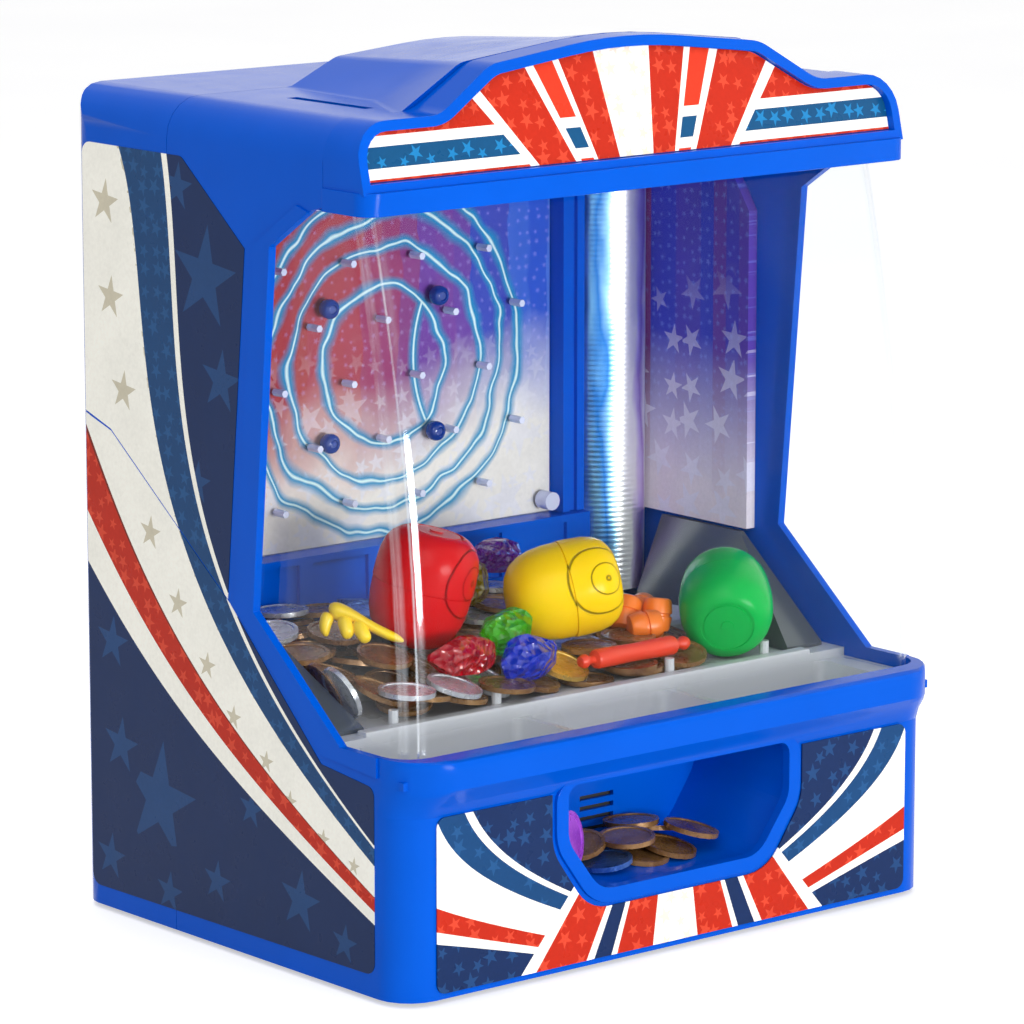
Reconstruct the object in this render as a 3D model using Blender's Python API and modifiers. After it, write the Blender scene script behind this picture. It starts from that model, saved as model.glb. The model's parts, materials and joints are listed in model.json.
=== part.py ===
"""Coin pusher machine: a table-top arcade cabinet with a clear cover, a moving pusher and a prize tray.

All sizes are millimetres. A place is given as x from the middle of the cabinet, depth back from the face
of the lower front panel, and height above the underside of the base plate. at() turns that into Blender's
metres, in a frame whose origin is the bottom centre of the whole machine.
"""

from math import atan2, cos, pi, radians, sin, tan

import bmesh
import bpy
from mathutils import Matrix, Vector

MM = 0.001
GAP = 0.3  # clearance between pieces that touch
WALL = 2.5  # moulded casing wall
REACH = 8.0  # how far a cutter runs past the face that it cuts

# Cabinet
BODY_WIDTH = 280.0
BODY_DEPTH = 212.0
BODY_HEIGHT = 336.0
SEAM_DEPTH = 146.0  # where the front and rear shells meet
FRONT_RADIUS = 15.5
BACK_RADIUS = 12.0
ROOF_RADIUS = 16.0
FOOT_HEIGHT = 2.0
FOOT_RADIUS = 8.0
FOOT_INSET = 28.0  # from the side walls
FOOT_FRONT = 24.0
FOOT_BACK_INSET = 16.0
BASE_THICKNESS = 2.5
HALF_WIDTH = BODY_WIDTH / 2
INNER_HALF = HALF_WIDTH - WALL
INNER_BACK = BODY_DEPTH - WALL
SCREW_X = HALF_WIDTH - 32
SCREW_DEPTH = BODY_DEPTH - 30
SCREW_RADIUS = 1.4
SCREW_HEAD_RADIUS = 3.2

# Lip round the front of the cabinet, at the foot of the clear cover
LIP_START = 72.4
LIP_OUT = 9.0
LIP_BOTTOM = 84.0
LIP_TOP = 95.5
LIP_RADIUS = 22.0

# Header hood, its shelf and the hump behind it
SHELF_FRONT = 19.2
SHELF_BOTTOM = BODY_HEIGHT - 34.5
SHELF_TOP = SHELF_BOTTOM + 9
HOOD_FRONT = 22.0
HOOD_BACK = 46.5
HEADER_BEAD = 4.0
HEADER_LEAN = 0.24  # how far the header leans back for each mm of height
LABEL_THICKNESS = 0.5
LABEL_SET = 3.2  # how far the header label lies behind the bead
SHOULDER_HEIGHT = BODY_HEIGHT + 0.5
ARCH_FOOT_HALF = HALF_WIDTH - 42
ARCH_SIDE_HALF = ARCH_FOOT_HALF - 28
ARCH_SIDE_HEIGHT = BODY_HEIGHT + 17.5
ARCH_PEAK = BODY_HEIGHT + 25.5
HUMP_MIDDLE = 84.0
HUMP_END_HALF = ARCH_FOOT_HALF - 20
HUMP_END_RISE = 15.6

# Side opening: (depth, height) of its corners, from the lip up to the shelf
OPENING_FOOT = (37.2, LIP_TOP)
OPENING_WAIST = (91.6, 139.7)
OPENING_SHOULDER = (79.3, BODY_HEIGHT - 51.5)
OPENING_TOP = (54.0, SHELF_BOTTOM - 0.5)
BEZEL_PROUD = 1.0
BEZEL_START = 15.0  # the bezel runs under the lip from here

# Side films
FILM_FRONT = 17.5
FILM_BACK = BODY_DEPTH - 9
FILM_TOP = BODY_HEIGHT - 22
FILM_BEND = BODY_DEPTH - 26  # where the films' joint turns, near the back

# Prize window in the lower front panel
WINDOW_HALF = 58.5
WINDOW_TOP = 74.5
WINDOW_BOTTOM = 30.0
SURROUND = 6.0
SURROUND_PROUD = 1.5
POCKET_BACK = 54.0
POCKET_FLOOR = 24.0
POCKET_TOP = WINDOW_TOP + 1.3
POCKET_WALL = 2.0
POCKET_HALF = WINDOW_HALF + 9.5
FRONT_LABEL_HALF = HALF_WIDTH - 16
SPEAKER_X = 2.0
SPEAKER_HEIGHT = 42.0
SPEAKER_RADIUS = 14.2
SPEAKER_DEPTH = 11.0
SPEAKER_SLOT_PITCH = 4.4

# Play tray
TRAY_RIM = 90.0
TRAY_UNDERSIDE = 76.3
TRAY_HALF = INNER_HALF - GAP
RIM_THICKNESS = 2.0
TROUGH_FRONT = 8.0
TROUGH_BACK = 50.0
TROUGH_FLOOR = 78.0
TROUGH_OUTER = INNER_HALF - 13.5
DIVIDER_AT = 38.5
DIVIDER_WIDTH = 3.0
CHUTE_HALF = 30.0
CHUTE_DEPTHS = (14.0, 44.0)
BAR_BACK = 57.0
BAR_TOP = 95.5
DECK_TOP = 93.5
DECK_UNDERSIDE = 90.0
DECK_BACK = BODY_DEPTH - 16
LEDGE_REACH = 4.0  # how far the casing's ledges run in under the tray
LEDGE_HEIGHT = 3.2
LEDGE_TOP = DECK_UNDERSIDE - RIM_THICKNESS - GAP
POST_RADIUS = 2.0
POST_HEIGHT = 7.0

# Clear cover, which ends just behind the bezel of the side opening
COVER_HALF = INNER_HALF - 2.7
COVER_THICKNESS = 1.8
COVER_RADIUS = 12.0
COVER_LEAN = 27.0  # how far its front leans back at the top
COVER_OVERLAP = 4.0

# Pusher, its guides and the drive below it
WING_FOOT_HALF = INNER_HALF - 25.5
WING_TOP = 135.0
WING_OUTER = COVER_HALF - COVER_THICKNESS - 0.8
WING_EDGE = 2.0
PUSHER_HALF = WING_FOOT_HALF - 5
PUSHER_FRONT = 98.0
PUSHER_BACK = 168.0
PUSHER_THICKNESS = 10.0
PUSHER_STROKE = 25.0
PUSHER_BOTTOM = DECK_TOP + GAP
PUSHER_TOP = PUSHER_BOTTOM + PUSHER_THICKNESS
RAIL_WIDTH = 3.0
RAIL_HEIGHT = 6.0
CRANK_DEPTH = 150.0
CRANK_RADIUS = PUSHER_STROKE / 2
CRANK_PIN_RADIUS = 2.0
YOKE_HALF = CRANK_RADIUS + CRANK_PIN_RADIUS + 4.5
YOKE_DEPTH = 10.0
YOKE_BOTTOM = 84.0
YOKE_MIDDLE = CRANK_DEPTH - CRANK_RADIUS
PIN_CLEARANCE = 0.4  # the crank pin stops this far below the yoke
GEAR_MODULE = 1.0
GEAR_BACKLASH = 0.16
MOTOR_TEETH = 10
IDLER_TEETH = 30
CRANK_TEETH = 50
CRANK_PITCH = GEAR_MODULE * CRANK_TEETH / 2
IDLER_X = GEAR_MODULE * (CRANK_TEETH + IDLER_TEETH) / 2 + 0.1
MOTOR_X = IDLER_X + GEAR_MODULE * (IDLER_TEETH + MOTOR_TEETH) / 2 + 0.1
GEAR_BOTTOM = 64.0
GEAR_THICKNESS = 6.0
GEAR_TOP = GEAR_BOTTOM + GEAR_THICKNESS
AXLE_RADIUS = 2.5
CHASSIS_BOTTOM = 58.0
CHASSIS_TOP = 61.0
CHASSIS_POST_RADIUS = 3.0
MOTOR_RADIUS = 12.0
MOTOR_LENGTH = 30.0
MOTOR_SHAFT_RADIUS = 0.9

# Back of the play chamber
BOARD_FACE = BODY_DEPTH - 37
BOARD_BOTTOM = 140.0
CHAMBER_TOP = SHELF_BOTTOM - 0.7
CEILING_LOW = CHAMBER_TOP + GAP
CEILING_THICKNESS = 2.0
PANEL_FACE = INNER_HALF - 5  # inner face of the side wall panels
PANEL_FRONT = 106.0
PANEL_BACK = BOARD_FACE - 3
PANEL_SLOPE = (20.0, 28.8)  # how far the top front corner is cut, in depth and height
COLUMN_RADIUS = 19.0
COLUMN_X = PANEL_FACE - 0.5 - COLUMN_RADIUS
COLUMN_BACK = BOARD_FACE + 3
PILLAR_WIDTH = 12.0
BOARD_LEFT = -PANEL_FACE + 5.5
BOARD_RIGHT = COLUMN_X - COLUMN_RADIUS - PILLAR_WIDTH
SILL_FRONT = BOARD_FACE - 12
SILL_FLUTE_PITCH = 36.0
SILL_FLUTE_WIDTH = 29.0
WING_BACK = COLUMN_BACK - COLUMN_RADIUS - 1.5
PEG_RADIUS = 1.6
PEG_LENGTH = 7.0
PEG_PITCH = 36.0
PEG_ROW_PITCH = 25.0
PEG_MARGIN = (24.0, 18.0)  # of the first peg, from the board's left edge and its foot
PIN_PLATE_THICKNESS = 1.5

# Coin slot in the roof
SLOT_X = -HALF_WIDTH + 38
SLOT_WIDTH = 5.0
SLOT_FRONT = 66.0
SLOT_BACK = 115.0
CHUTE_WALL = 1.5

# Rear door, battery bay, circuit board and switch
DOOR_HALF = 60.0
DOOR_BOTTOM = 26.0
DOOR_TOP = 96.0
DOOR_AXIS = DOOR_BOTTOM - 5.2  # its edge clears the casing as it swings
DOOR_PIN_DEPTH = BODY_DEPTH - 4.5
DOOR_GAP = 0.6
DOOR_FOOT_GAP = 2.1
HINGE_AT = 45.0
HINGE_RADIUS = 1.2
HINGE_BORE = HINGE_RADIUS + 0.15
KNUCKLE_HALF = 5.0
KNUCKLE_RADIUS = 3.0
LUG_WIDTH = 5.0
CELL_RADIUS = 13.1
CELL_LENGTH = 50.0
CELL_COUNT = 3
CELL_PITCH = 2 * CELL_RADIUS + 1
BAY_LEFT = -INNER_HALF + 13.5
BAY_RIGHT = BAY_LEFT + CELL_COUNT * CELL_PITCH + 5
BAY_FRONT = 112.0
BAY_BACK = BAY_FRONT + CELL_LENGTH + 8
BAY_WALL = 4.0
BAY_LID = 2.0
CIRCUIT_RIGHT = INNER_HALF - 9.5
CIRCUIT_LEFT = CIRCUIT_RIGHT - 100
CIRCUIT_FRONT = 66.0
CIRCUIT_BACK = 124.0
CIRCUIT_HEIGHT = 8.0
CIRCUIT_THICKNESS = 1.6
SWITCH_X = HALF_WIDTH - 48
SWITCH_HEIGHT = 52.0
SWITCH_TRAVEL = 5.0
SWITCH_SLOT = (SWITCH_X - 3, SWITCH_X + 2.6 + SWITCH_TRAVEL)

MIDDLE_DEPTH = (BODY_DEPTH - LIP_OUT) / 2

for scene_object in list(bpy.data.objects):
    bpy.data.objects.remove(scene_object, do_unlink=True)

parts = bpy.data.collections.new("coin_pusher_machine")
cutters = bpy.data.collections.new("cutters")
for collection in (parts, cutters):
    bpy.context.scene.collection.children.link(collection)


def at(x, depth, height):
    """A place on the machine, in Blender's metres."""
    return Vector((x, depth - MIDDLE_DEPTH, height + FOOT_HEIGHT)) * MM


# Materials


def finish(name, colour, roughness, metallic=0.0, clear=0.0):
    """A Principled material from a linear colour."""
    material = bpy.data.materials.new(name)
    material.use_nodes = True
    shader = material.node_tree.nodes["Principled BSDF"]
    shader.inputs["Base Color"].default_value = (*colour, 1)
    shader.inputs["Roughness"].default_value = roughness
    shader.inputs["Metallic"].default_value = metallic
    shader.inputs["Transmission Weight"].default_value = clear
    return material


BLUE = finish("blue_abs", (0.0, 0.08, 0.60), 0.25)
SILVER = finish("silver_grey_abs", (0.45, 0.46, 0.48), 0.4)
CLEAR = finish("clear_polystyrene", (0.9, 0.95, 1.0), 0.05, clear=1.0)
LABEL = finish("printed_film", (0.02, 0.08, 0.25), 0.35)
PRINT = finish("printed_card", (0.25, 0.15, 0.55), 0.4)
FOIL = finish("rainbow_foil", (0.7, 0.72, 0.8), 0.2, 1.0)
DARK = finish("black_abs", (0.02, 0.02, 0.022), 0.5)
WHITE = finish("white_nylon", (0.8, 0.8, 0.76), 0.45)
STEEL = finish("plated_steel", (0.6, 0.6, 0.62), 0.3, 1.0)
BOARD = finish("green_circuit_board", (0.02, 0.18, 0.06), 0.5)
BROWN = finish("bronze_plastic", (0.20, 0.07, 0.02), 0.35, 0.4)
RED = finish("red_polypropylene", (0.75, 0.02, 0.02), 0.3)
YELLOW = finish("yellow_polypropylene", (0.95, 0.62, 0.01), 0.3)
GREEN = finish("green_polypropylene", (0.0, 0.42, 0.08), 0.3)
ORANGE = finish("orange_polypropylene", (0.95, 0.20, 0.02), 0.35)
AMBER = finish("amber_crystal", (0.45, 0.36, 0.02), 0.08, clear=0.8)
LIME = finish("green_crystal", (0.25, 0.75, 0.02), 0.08, clear=0.8)
RUBY = finish("red_crystal", (0.75, 0.02, 0.04), 0.08, clear=0.8)
SAPPHIRE = finish("blue_crystal", (0.0, 0.08, 0.75), 0.08, clear=0.8)


# Outlines


def rounded(corners, steps=5):
    """The points of an outline whose corners are (u, v, radius), each round one as an arc."""
    points = []
    neighbours = zip(corners[-1:] + corners[:-1], corners, corners[1:] + corners[:1])
    for before, corner, after in neighbours:
        here = Vector(corner[:2])
        if corner[2] == 0:
            points.append(here)
            continue
        to_before = (Vector(before[:2]) - here).normalized()
        to_after = (Vector(after[:2]) - here).normalized()
        half = to_before.angle(to_after) / 2
        centre = here + (to_before + to_after).normalized() * corner[2] / sin(half)
        start = here + to_before * corner[2] / tan(half) - centre
        end = here + to_after * corner[2] / tan(half) - centre
        sweep = atan2(start.cross(end), start.dot(end))
        first = atan2(start.y, start.x)
        for step in range(steps + 1):
            angle = first + sweep * step / steps
            points.append(centre + Vector((cos(angle), sin(angle))) * corner[2])
    return points


def mirrored(half):
    """A symmetric outline from the corners of its right half, listed from the bottom up."""
    return half + [(-corner[0], *corner[1:]) for corner in reversed(half)]


def circle(u, v, radius, count=20):
    turns = [2 * pi * i / count for i in range(count)]
    return [Vector((u + radius * cos(turn), v + radius * sin(turn))) for turn in turns]


def rectangle(u, v, radius=0.0):
    return [(u[0], v[0], radius), (u[1], v[0], radius), (u[1], v[1], radius), (u[0], v[1], radius)]


def seen(outline):
    """An outline's points, whether it was given as corners or as points already."""
    return outline if len(outline[0]) == 2 else rounded(outline)


# Solids

# How an outline's (u, v) and its thickness lie in x, depth and height
PLANES = {
    "plan": Matrix.Identity(3),
    "front": Matrix(((1, 0, 0), (0, 0, -1), (0, 1, 0))),
    "side": Matrix(((0, 0, 1), (1, 0, 0), (0, 1, 0))),
}


def add(name, mesh, material, helper=False):
    piece = bpy.data.objects.new(name, mesh)
    (cutters if helper else parts).objects.link(piece)
    if helper:
        piece.hide_render = True
        piece.display_type = "WIRE"
    else:
        mesh.materials.clear()
        mesh.materials.append(material)
    return piece


def block(name, x, depth, height, material=None, bevel=0.0):
    """A box between two values on each axis. Without a material it is a helper."""
    low, high = at(x[0], depth[0], height[0]), at(x[1], depth[1], height[1])
    cube = bmesh.new()
    bmesh.ops.create_cube(cube, size=1)
    bmesh.ops.scale(cube, vec=high - low, verts=cube.verts)
    mesh = bpy.data.meshes.new(name)
    cube.to_mesh(mesh)
    cube.free()
    piece = add(name, mesh, material, helper=material is None)
    piece.location = (low + high) / 2
    if bevel:
        soften(piece, bevel)
    return piece


def prism(name, plane, outlines, span, material=None):
    """A flat outline, with any holes, given a thickness. The first outline is the outer one."""
    curve = bpy.data.curves.new(name, "CURVE")
    curve.dimensions = "2D"
    curve.fill_mode = "BOTH"
    curve.extrude = (span[1] - span[0]) / 2 * MM
    for outline in outlines:
        points = seen(outline)
        spline = curve.splines.new("POLY")
        spline.points.add(len(points) - 1)
        for point, place in zip(spline.points, points):
            point.co = (place[0] * MM, place[1] * MM, 0, 1)
        spline.use_cyclic_u = True
    guide = bpy.data.objects.new(name + "_outline", curve)
    cutters.objects.link(guide)
    turn = PLANES[plane]
    middle = turn @ Vector((0, 0, (span[0] + span[1]) / 2))
    if plane == "front":
        middle = -middle
    guide.matrix_world = Matrix.Translation(at(*middle)) @ turn.to_4x4()
    bpy.context.view_layer.update()
    graph = bpy.context.evaluated_depsgraph_get()
    mesh = bpy.data.meshes.new_from_object(guide.evaluated_get(graph))
    placed = guide.matrix_world.copy()
    bpy.data.objects.remove(guide, do_unlink=True)
    weld(mesh)
    piece = add(name, mesh, material, helper=material is None)
    piece.matrix_world = placed
    return piece


def weld(mesh):
    shape = bmesh.new()
    shape.from_mesh(mesh)
    bmesh.ops.remove_doubles(shape, verts=shape.verts, dist=1e-6)
    bmesh.ops.recalc_face_normals(shape, faces=shape.faces)
    shape.to_mesh(mesh)
    shape.free()


def loft(name, sections, material=None):
    """A solid through unlike closed sections, each a list of (x, depth, height) of the same length."""
    shape = bmesh.new()
    rings = [[shape.verts.new(at(*point)) for point in section] for section in sections]
    for ring, following in zip(rings, rings[1:]):
        for i in range(len(ring)):
            j = (i + 1) % len(ring)
            shape.faces.new((ring[i], ring[j], following[j], following[i]))
    ends = [shape.faces.new(rings[0]), shape.faces.new(rings[-1])]
    bmesh.ops.triangulate(shape, faces=ends)
    bmesh.ops.recalc_face_normals(shape, faces=shape.faces)
    mesh = bpy.data.meshes.new(name)
    shape.to_mesh(mesh)
    shape.free()
    return add(name, mesh, material, helper=material is None)


def turned(name, centre, profile, material=None, steps=20):
    """A solid of revolution about a vertical line: (radius, height) points, top to bottom."""
    mesh = bpy.data.meshes.new(name)
    points = [(radius * MM, 0, height * MM) for radius, height in profile]
    mesh.from_pydata(points, [(i, i + 1) for i in range(len(points) - 1)], [])
    piece = add(name, mesh, material, helper=material is None)
    piece.location = at(centre[0], centre[1], 0)
    screw = piece.modifiers.new("turn", "SCREW")
    screw.steps = screw.render_steps = steps
    screw.use_merge_vertices = True
    screw.merge_threshold = 1e-5
    return piece


def cylinder(name, centre, radius, height, material=None, steps=20):
    low, high = height
    profile = [(0, high), (radius, high), (radius, low), (0, low)]
    return turned(name, centre, profile, material, steps)


def soften(piece, width, segments=2, angle=30):
    bevel = piece.modifiers.new("soften", "BEVEL")
    bevel.width = width * MM
    bevel.segments = segments
    bevel.limit_method = "ANGLE"
    bevel.angle_limit = radians(angle)
    return piece


def boolean(piece, other, operation):
    step = piece.modifiers.new(operation.lower(), "BOOLEAN")
    step.operation = operation
    step.solver = "EXACT"
    step.object = other
    return piece


def cut(piece, *others):
    for other in others:
        boolean(piece, other, "DIFFERENCE")
    return piece


def join(piece, *others):
    for other in others:
        boolean(piece, other, "UNION")
    return piece


def keep_inside(piece, other):
    return boolean(piece, other, "INTERSECT")


def pivot(piece, point):
    """Moves a piece's origin to a point on its joint's axis, and leaves the piece where it is."""
    bpy.context.view_layer.update()
    target = at(*point)
    placed = piece.matrix_world.copy()
    piece.data.transform(Matrix.Translation(-target) @ placed)
    piece.matrix_world = Matrix.Translation(target)
    return piece


# Casing


def cabinet_section(inset=0.0):
    """The cabinet's section across its width, as corners for rounded()."""
    half, top = HALF_WIDTH - inset, BODY_HEIGHT - inset
    floor = -5.0 if inset else 0.0
    return mirrored([(half, floor, 0), (half, top, ROOF_RADIUS - inset)])


def cabinet_plan(inset, front, back):
    """The cabinet's outline from above, from the front panel back to a depth, as corners."""
    half = HALF_WIDTH - inset
    front_radius = FRONT_RADIUS - inset if front <= inset else 0
    back_radius = BACK_RADIUS - inset if back >= BODY_DEPTH - inset else 0
    return mirrored([(half, front, front_radius), (half, back, back_radius)])


def opening_profile():
    """The play chamber's outline from the side: what the casing leaves open, above the lip."""
    above, before = ARCH_PEAK + REACH, -LIP_OUT - REACH
    return [
        (before, LIP_TOP, 0),
        (*OPENING_FOOT, 0),
        (*OPENING_WAIST, 0),
        (*OPENING_SHOULDER, 0),
        (*OPENING_TOP, 0),
        (HOOD_BACK + GAP, OPENING_TOP[1] + 2, 0),
        (HOOD_BACK + GAP, above, 0),
        (before, above, 0),
    ]


def hump_section(depth, half, rise, inset=0.0):
    """The arch of the roof hump at one depth."""
    base = BODY_HEIGHT - 6 - inset
    side_half = half * ARCH_SIDE_HALF / ARCH_FOOT_HALF
    side_rise = rise * (ARCH_SIDE_HEIGHT - SHOULDER_HEIGHT) / (ARCH_PEAK - SHOULDER_HEIGHT)
    corners = [
        (half + 6 - inset, base, 0),
        (half + 6 - inset, BODY_HEIGHT - 0.2 - inset, 0),
        (half - inset, BODY_HEIGHT + 0.4 - inset, 0),
        (side_half - inset, BODY_HEIGHT + side_rise - inset, 14),
        (0, BODY_HEIGHT + rise - inset, 240),
    ]
    outline = corners + [(-corner[0], *corner[1:]) for corner in reversed(corners[:-1])]
    return [(point[0], depth, point[1]) for point in rounded(outline, steps=4)]


def hump(name, inset=0.0):
    start = HOOD_BACK + GAP
    rise = ARCH_PEAK - BODY_HEIGHT
    return loft(
        name,
        [
            hump_section(start - inset, ARCH_FOOT_HALF + 4, rise, inset),
            hump_section(HUMP_MIDDLE, HUMP_END_HALF + 5, rise * 0.8, inset),
            hump_section(SEAM_DEPTH - GAP / 2 - inset, HUMP_END_HALF, HUMP_END_RISE, inset),
        ],
    )


def lip(name):
    """The rounded lip that flares out of the front panel."""
    levels = [
        (LIP_START, 0.1, FRONT_RADIUS),
        (LIP_BOTTOM - 7, LIP_OUT * 0.25, LIP_RADIUS - 5.5),
        (LIP_BOTTOM - 2.8, LIP_OUT * 0.7, LIP_RADIUS - 3),
        (LIP_BOTTOM, LIP_OUT, LIP_RADIUS),
        (LIP_TOP - 3, LIP_OUT, LIP_RADIUS),
        (LIP_TOP - 0.9, LIP_OUT - 0.8, LIP_RADIUS - 0.8),
        (LIP_TOP, LIP_OUT - 2.6, LIP_RADIUS - 2),
    ]
    sections = []
    for height, out, radius in levels:
        corners = mirrored([(HALF_WIDTH, -out, radius), (HALF_WIDTH, OPENING_FOOT[0] + 8, 0)])
        sections.append([(point[0], point[1], height) for point in rounded(corners)])
    return loft(name, sections)


def bezel(name, side):
    """The raised band round a side opening, from the lip to the shelf."""
    outer = [
        (BEZEL_START, LIP_TOP - 8),
        (OPENING_FOOT[0] - 18.9, LIP_TOP - 7.7),
        (OPENING_FOOT[0] + 11.4, LIP_TOP - 5.3),
        (OPENING_WAIST[0] + 12.3, OPENING_WAIST[1]),
        (OPENING_SHOULDER[0] + 10.9, OPENING_SHOULDER[1] - 0.5),
        (OPENING_TOP[0] + 8.3, SHELF_BOTTOM + 0.8),
    ]
    inner = [
        (OPENING_TOP[0] - 3, OPENING_TOP[1] - 2),
        (OPENING_SHOULDER[0] - 19.3, OPENING_SHOULDER[1] - 4.5),
        (OPENING_WAIST[0] - 21.6, OPENING_WAIST[1] + 5.3),
        (OPENING_FOOT[0] - 7.2, LIP_TOP + 16.5),
        (BEZEL_START, LIP_TOP + 16.5),
    ]
    corners = [(*point, 0) for point in outer + inner]
    low, high = HALF_WIDTH - WALL + 0.5, HALF_WIDTH + BEZEL_PROUD
    return prism(name, "side", [corners], (low, high) if side > 0 else (-high, -low))


def window_outline(spread=0.0):
    """The prize window: flat at the top, boat-shaped below."""
    return mirrored(
        [
            (WINDOW_HALF - 16.5 + spread * 0.55, WINDOW_BOTTOM - spread, 14 + spread),
            (WINDOW_HALF + spread, WINDOW_BOTTOM + 22 - spread * 0.25, 14 + spread),
            (WINDOW_HALF + spread, WINDOW_TOP + spread * 0.3, 5 + spread * 0.5),
        ]
    )


def side_label_outline(upper):
    """A side label film's outline (depth, height). The two films meet on a diagonal."""
    waist_depth, waist_height = OPENING_WAIST[0] + 17, OPENING_WAIST[1] + 2
    bend, end = waist_height + 57, waist_height + 62.5
    if upper:
        return [
            (waist_depth + 0.4, waist_height + 0.5, 0),
            (OPENING_SHOULDER[0] + 16.7, OPENING_SHOULDER[1] - 2.5, 0),
            (OPENING_TOP[0] + 82.6, FILM_TOP, 5),
            (FILM_BACK, FILM_TOP, 5),
            (FILM_BACK, end + 0.8, 0),
            (FILM_BEND, bend + 0.8, 0),
        ]
    return [
        (FILM_FRONT, 9, 5),
        (FILM_FRONT, LIP_BOTTOM - 1, 4),
        (OPENING_FOOT[0] + 12.8, LIP_BOTTOM + 2.5, 0),
        (waist_depth - 0.8, waist_height - 1.1, 0),
        (FILM_BEND, bend - 0.1, 0),
        (FILM_BACK, end - 0.4, 0),
        (FILM_BACK, 8, 5),
    ]


def cut_side_recesses(shell):
    """Shallow recesses that the side films lie in."""
    for upper in (True, False):
        for side in (-1, 1):
            low, high = HALF_WIDTH - 2 * GAP, HALF_WIDTH + 2
            span = (low, high) if side > 0 else (-high, -low)
            cut(shell, prism("label_recess", "side", [side_label_outline(upper)], span))


def tray_ledge(side, depths):
    """A ledge inside a side wall, under the edge of the play tray."""
    span = sorted((side * (TRAY_HALF - LEDGE_REACH), side * (INNER_HALF + 1)))
    return block("tray_ledge", span, depths, (LEDGE_TOP - LEDGE_HEIGHT, LEDGE_TOP))


def make_front_shell():
    depths = (0, SEAM_DEPTH - GAP / 2)
    above = ARCH_PEAK + REACH
    shell = prism("front_shell", "front", [cabinet_section()], depths, BLUE)
    keep_inside(shell, prism("front_plan", "plan", [cabinet_plan(0, 0, BODY_DEPTH)], (-5, above)))
    join(shell, hump("hump_outer"), lip("lip"), bezel("bezel_left", -1), bezel("bezel_right", 1))
    surround = prism("window_surround", "front", [window_outline(SURROUND)], (-SURROUND_PROUD, WALL))
    join(shell, soften(surround, 0.7))
    hollow = prism("front_hollow", "front", [cabinet_section(WALL)], (WALL, SEAM_DEPTH + REACH))
    hollow_plan = cabinet_plan(WALL, WALL, BODY_DEPTH * 2)
    keep_inside(hollow, prism("hollow_plan", "plan", [hollow_plan], (-9, above)))
    cut(shell, hollow, hump("hump_inner", WALL))
    cut(shell, prism("chamber_cut", "side", [opening_profile()], (-BODY_WIDTH, BODY_WIDTH)))
    cut(shell, prism("window_cut", "front", [window_outline()], (-REACH, WALL + REACH)))
    slot_span = (SLOT_X - SLOT_WIDTH / 2, SLOT_X + SLOT_WIDTH / 2)
    slot_heights = (BODY_HEIGHT - WALL - REACH, BODY_HEIGHT + REACH)
    cut(shell, block("roof_slot", slot_span, (SLOT_FRONT, SLOT_BACK), slot_heights))
    cut_side_recesses(shell)
    for side in (-1, 1):
        join(shell, tray_ledge(side, (WALL - 1, SEAM_DEPTH - 1)))


def make_rear_shell():
    front, back = SEAM_DEPTH + GAP / 2, BODY_DEPTH
    cut_depths = (back - WALL - REACH, back + REACH)
    above = BODY_HEIGHT + REACH
    shell = prism("rear_shell", "front", [cabinet_section()], (front, back), BLUE)
    keep_inside(shell, prism("rear_plan", "plan", [cabinet_plan(0, front, back)], (-5, above)))
    hollow = prism("rear_hollow", "front", [cabinet_section(WALL)], (SEAM_DEPTH - REACH, INNER_BACK))
    hollow_plan = cabinet_plan(WALL, SEAM_DEPTH - REACH, INNER_BACK)
    keep_inside(hollow, prism("rear_hollow_plan", "plan", [hollow_plan], (-9, above)))
    cut(shell, hollow)
    door_span = (-DOOR_HALF - DOOR_GAP, DOOR_HALF + DOOR_GAP)
    door_heights = (DOOR_BOTTOM - DOOR_FOOT_GAP, DOOR_TOP + DOOR_GAP)
    cut(shell, block("door_cut", door_span, cut_depths, door_heights))
    for x in (-HINGE_AT, HINGE_AT):
        knuckle_half = KNUCKLE_HALF + 0.5
        heights = (DOOR_AXIS - KNUCKLE_RADIUS - 1.5, DOOR_BOTTOM + 1)
        cut(shell, block("knuckle_cut", (x - knuckle_half, x + knuckle_half), cut_depths, heights))
        for side in (-1, 1):
            lug_x = x + side * (KNUCKLE_HALF + LUG_WIDTH / 2 + 1.5)
            lug_span = (lug_x - LUG_WIDTH / 2, lug_x + LUG_WIDTH / 2)
            lug_depths = (DOOR_PIN_DEPTH - 3.5, DOOR_PIN_DEPTH + 3.5)
            lug_heights = (DOOR_AXIS - 3.5, DOOR_AXIS + 3)
            join(shell, block("hinge_lug", lug_span, lug_depths, lug_heights))
            bore = [circle(DOOR_PIN_DEPTH, DOOR_AXIS, HINGE_BORE, 12)]
            cut(shell, prism("hinge_bore", "side", bore, (lug_span[0] - 1.5, lug_span[1] + 1.5)))
    slot_heights = (SWITCH_HEIGHT - 2, SWITCH_HEIGHT + 2)
    cut(shell, block("switch_slot", SWITCH_SLOT, cut_depths, slot_heights))
    cut_side_recesses(shell)
    for side in (-1, 1):
        join(shell, tray_ledge(side, (SEAM_DEPTH + 1, DECK_BACK + 1)))


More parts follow.
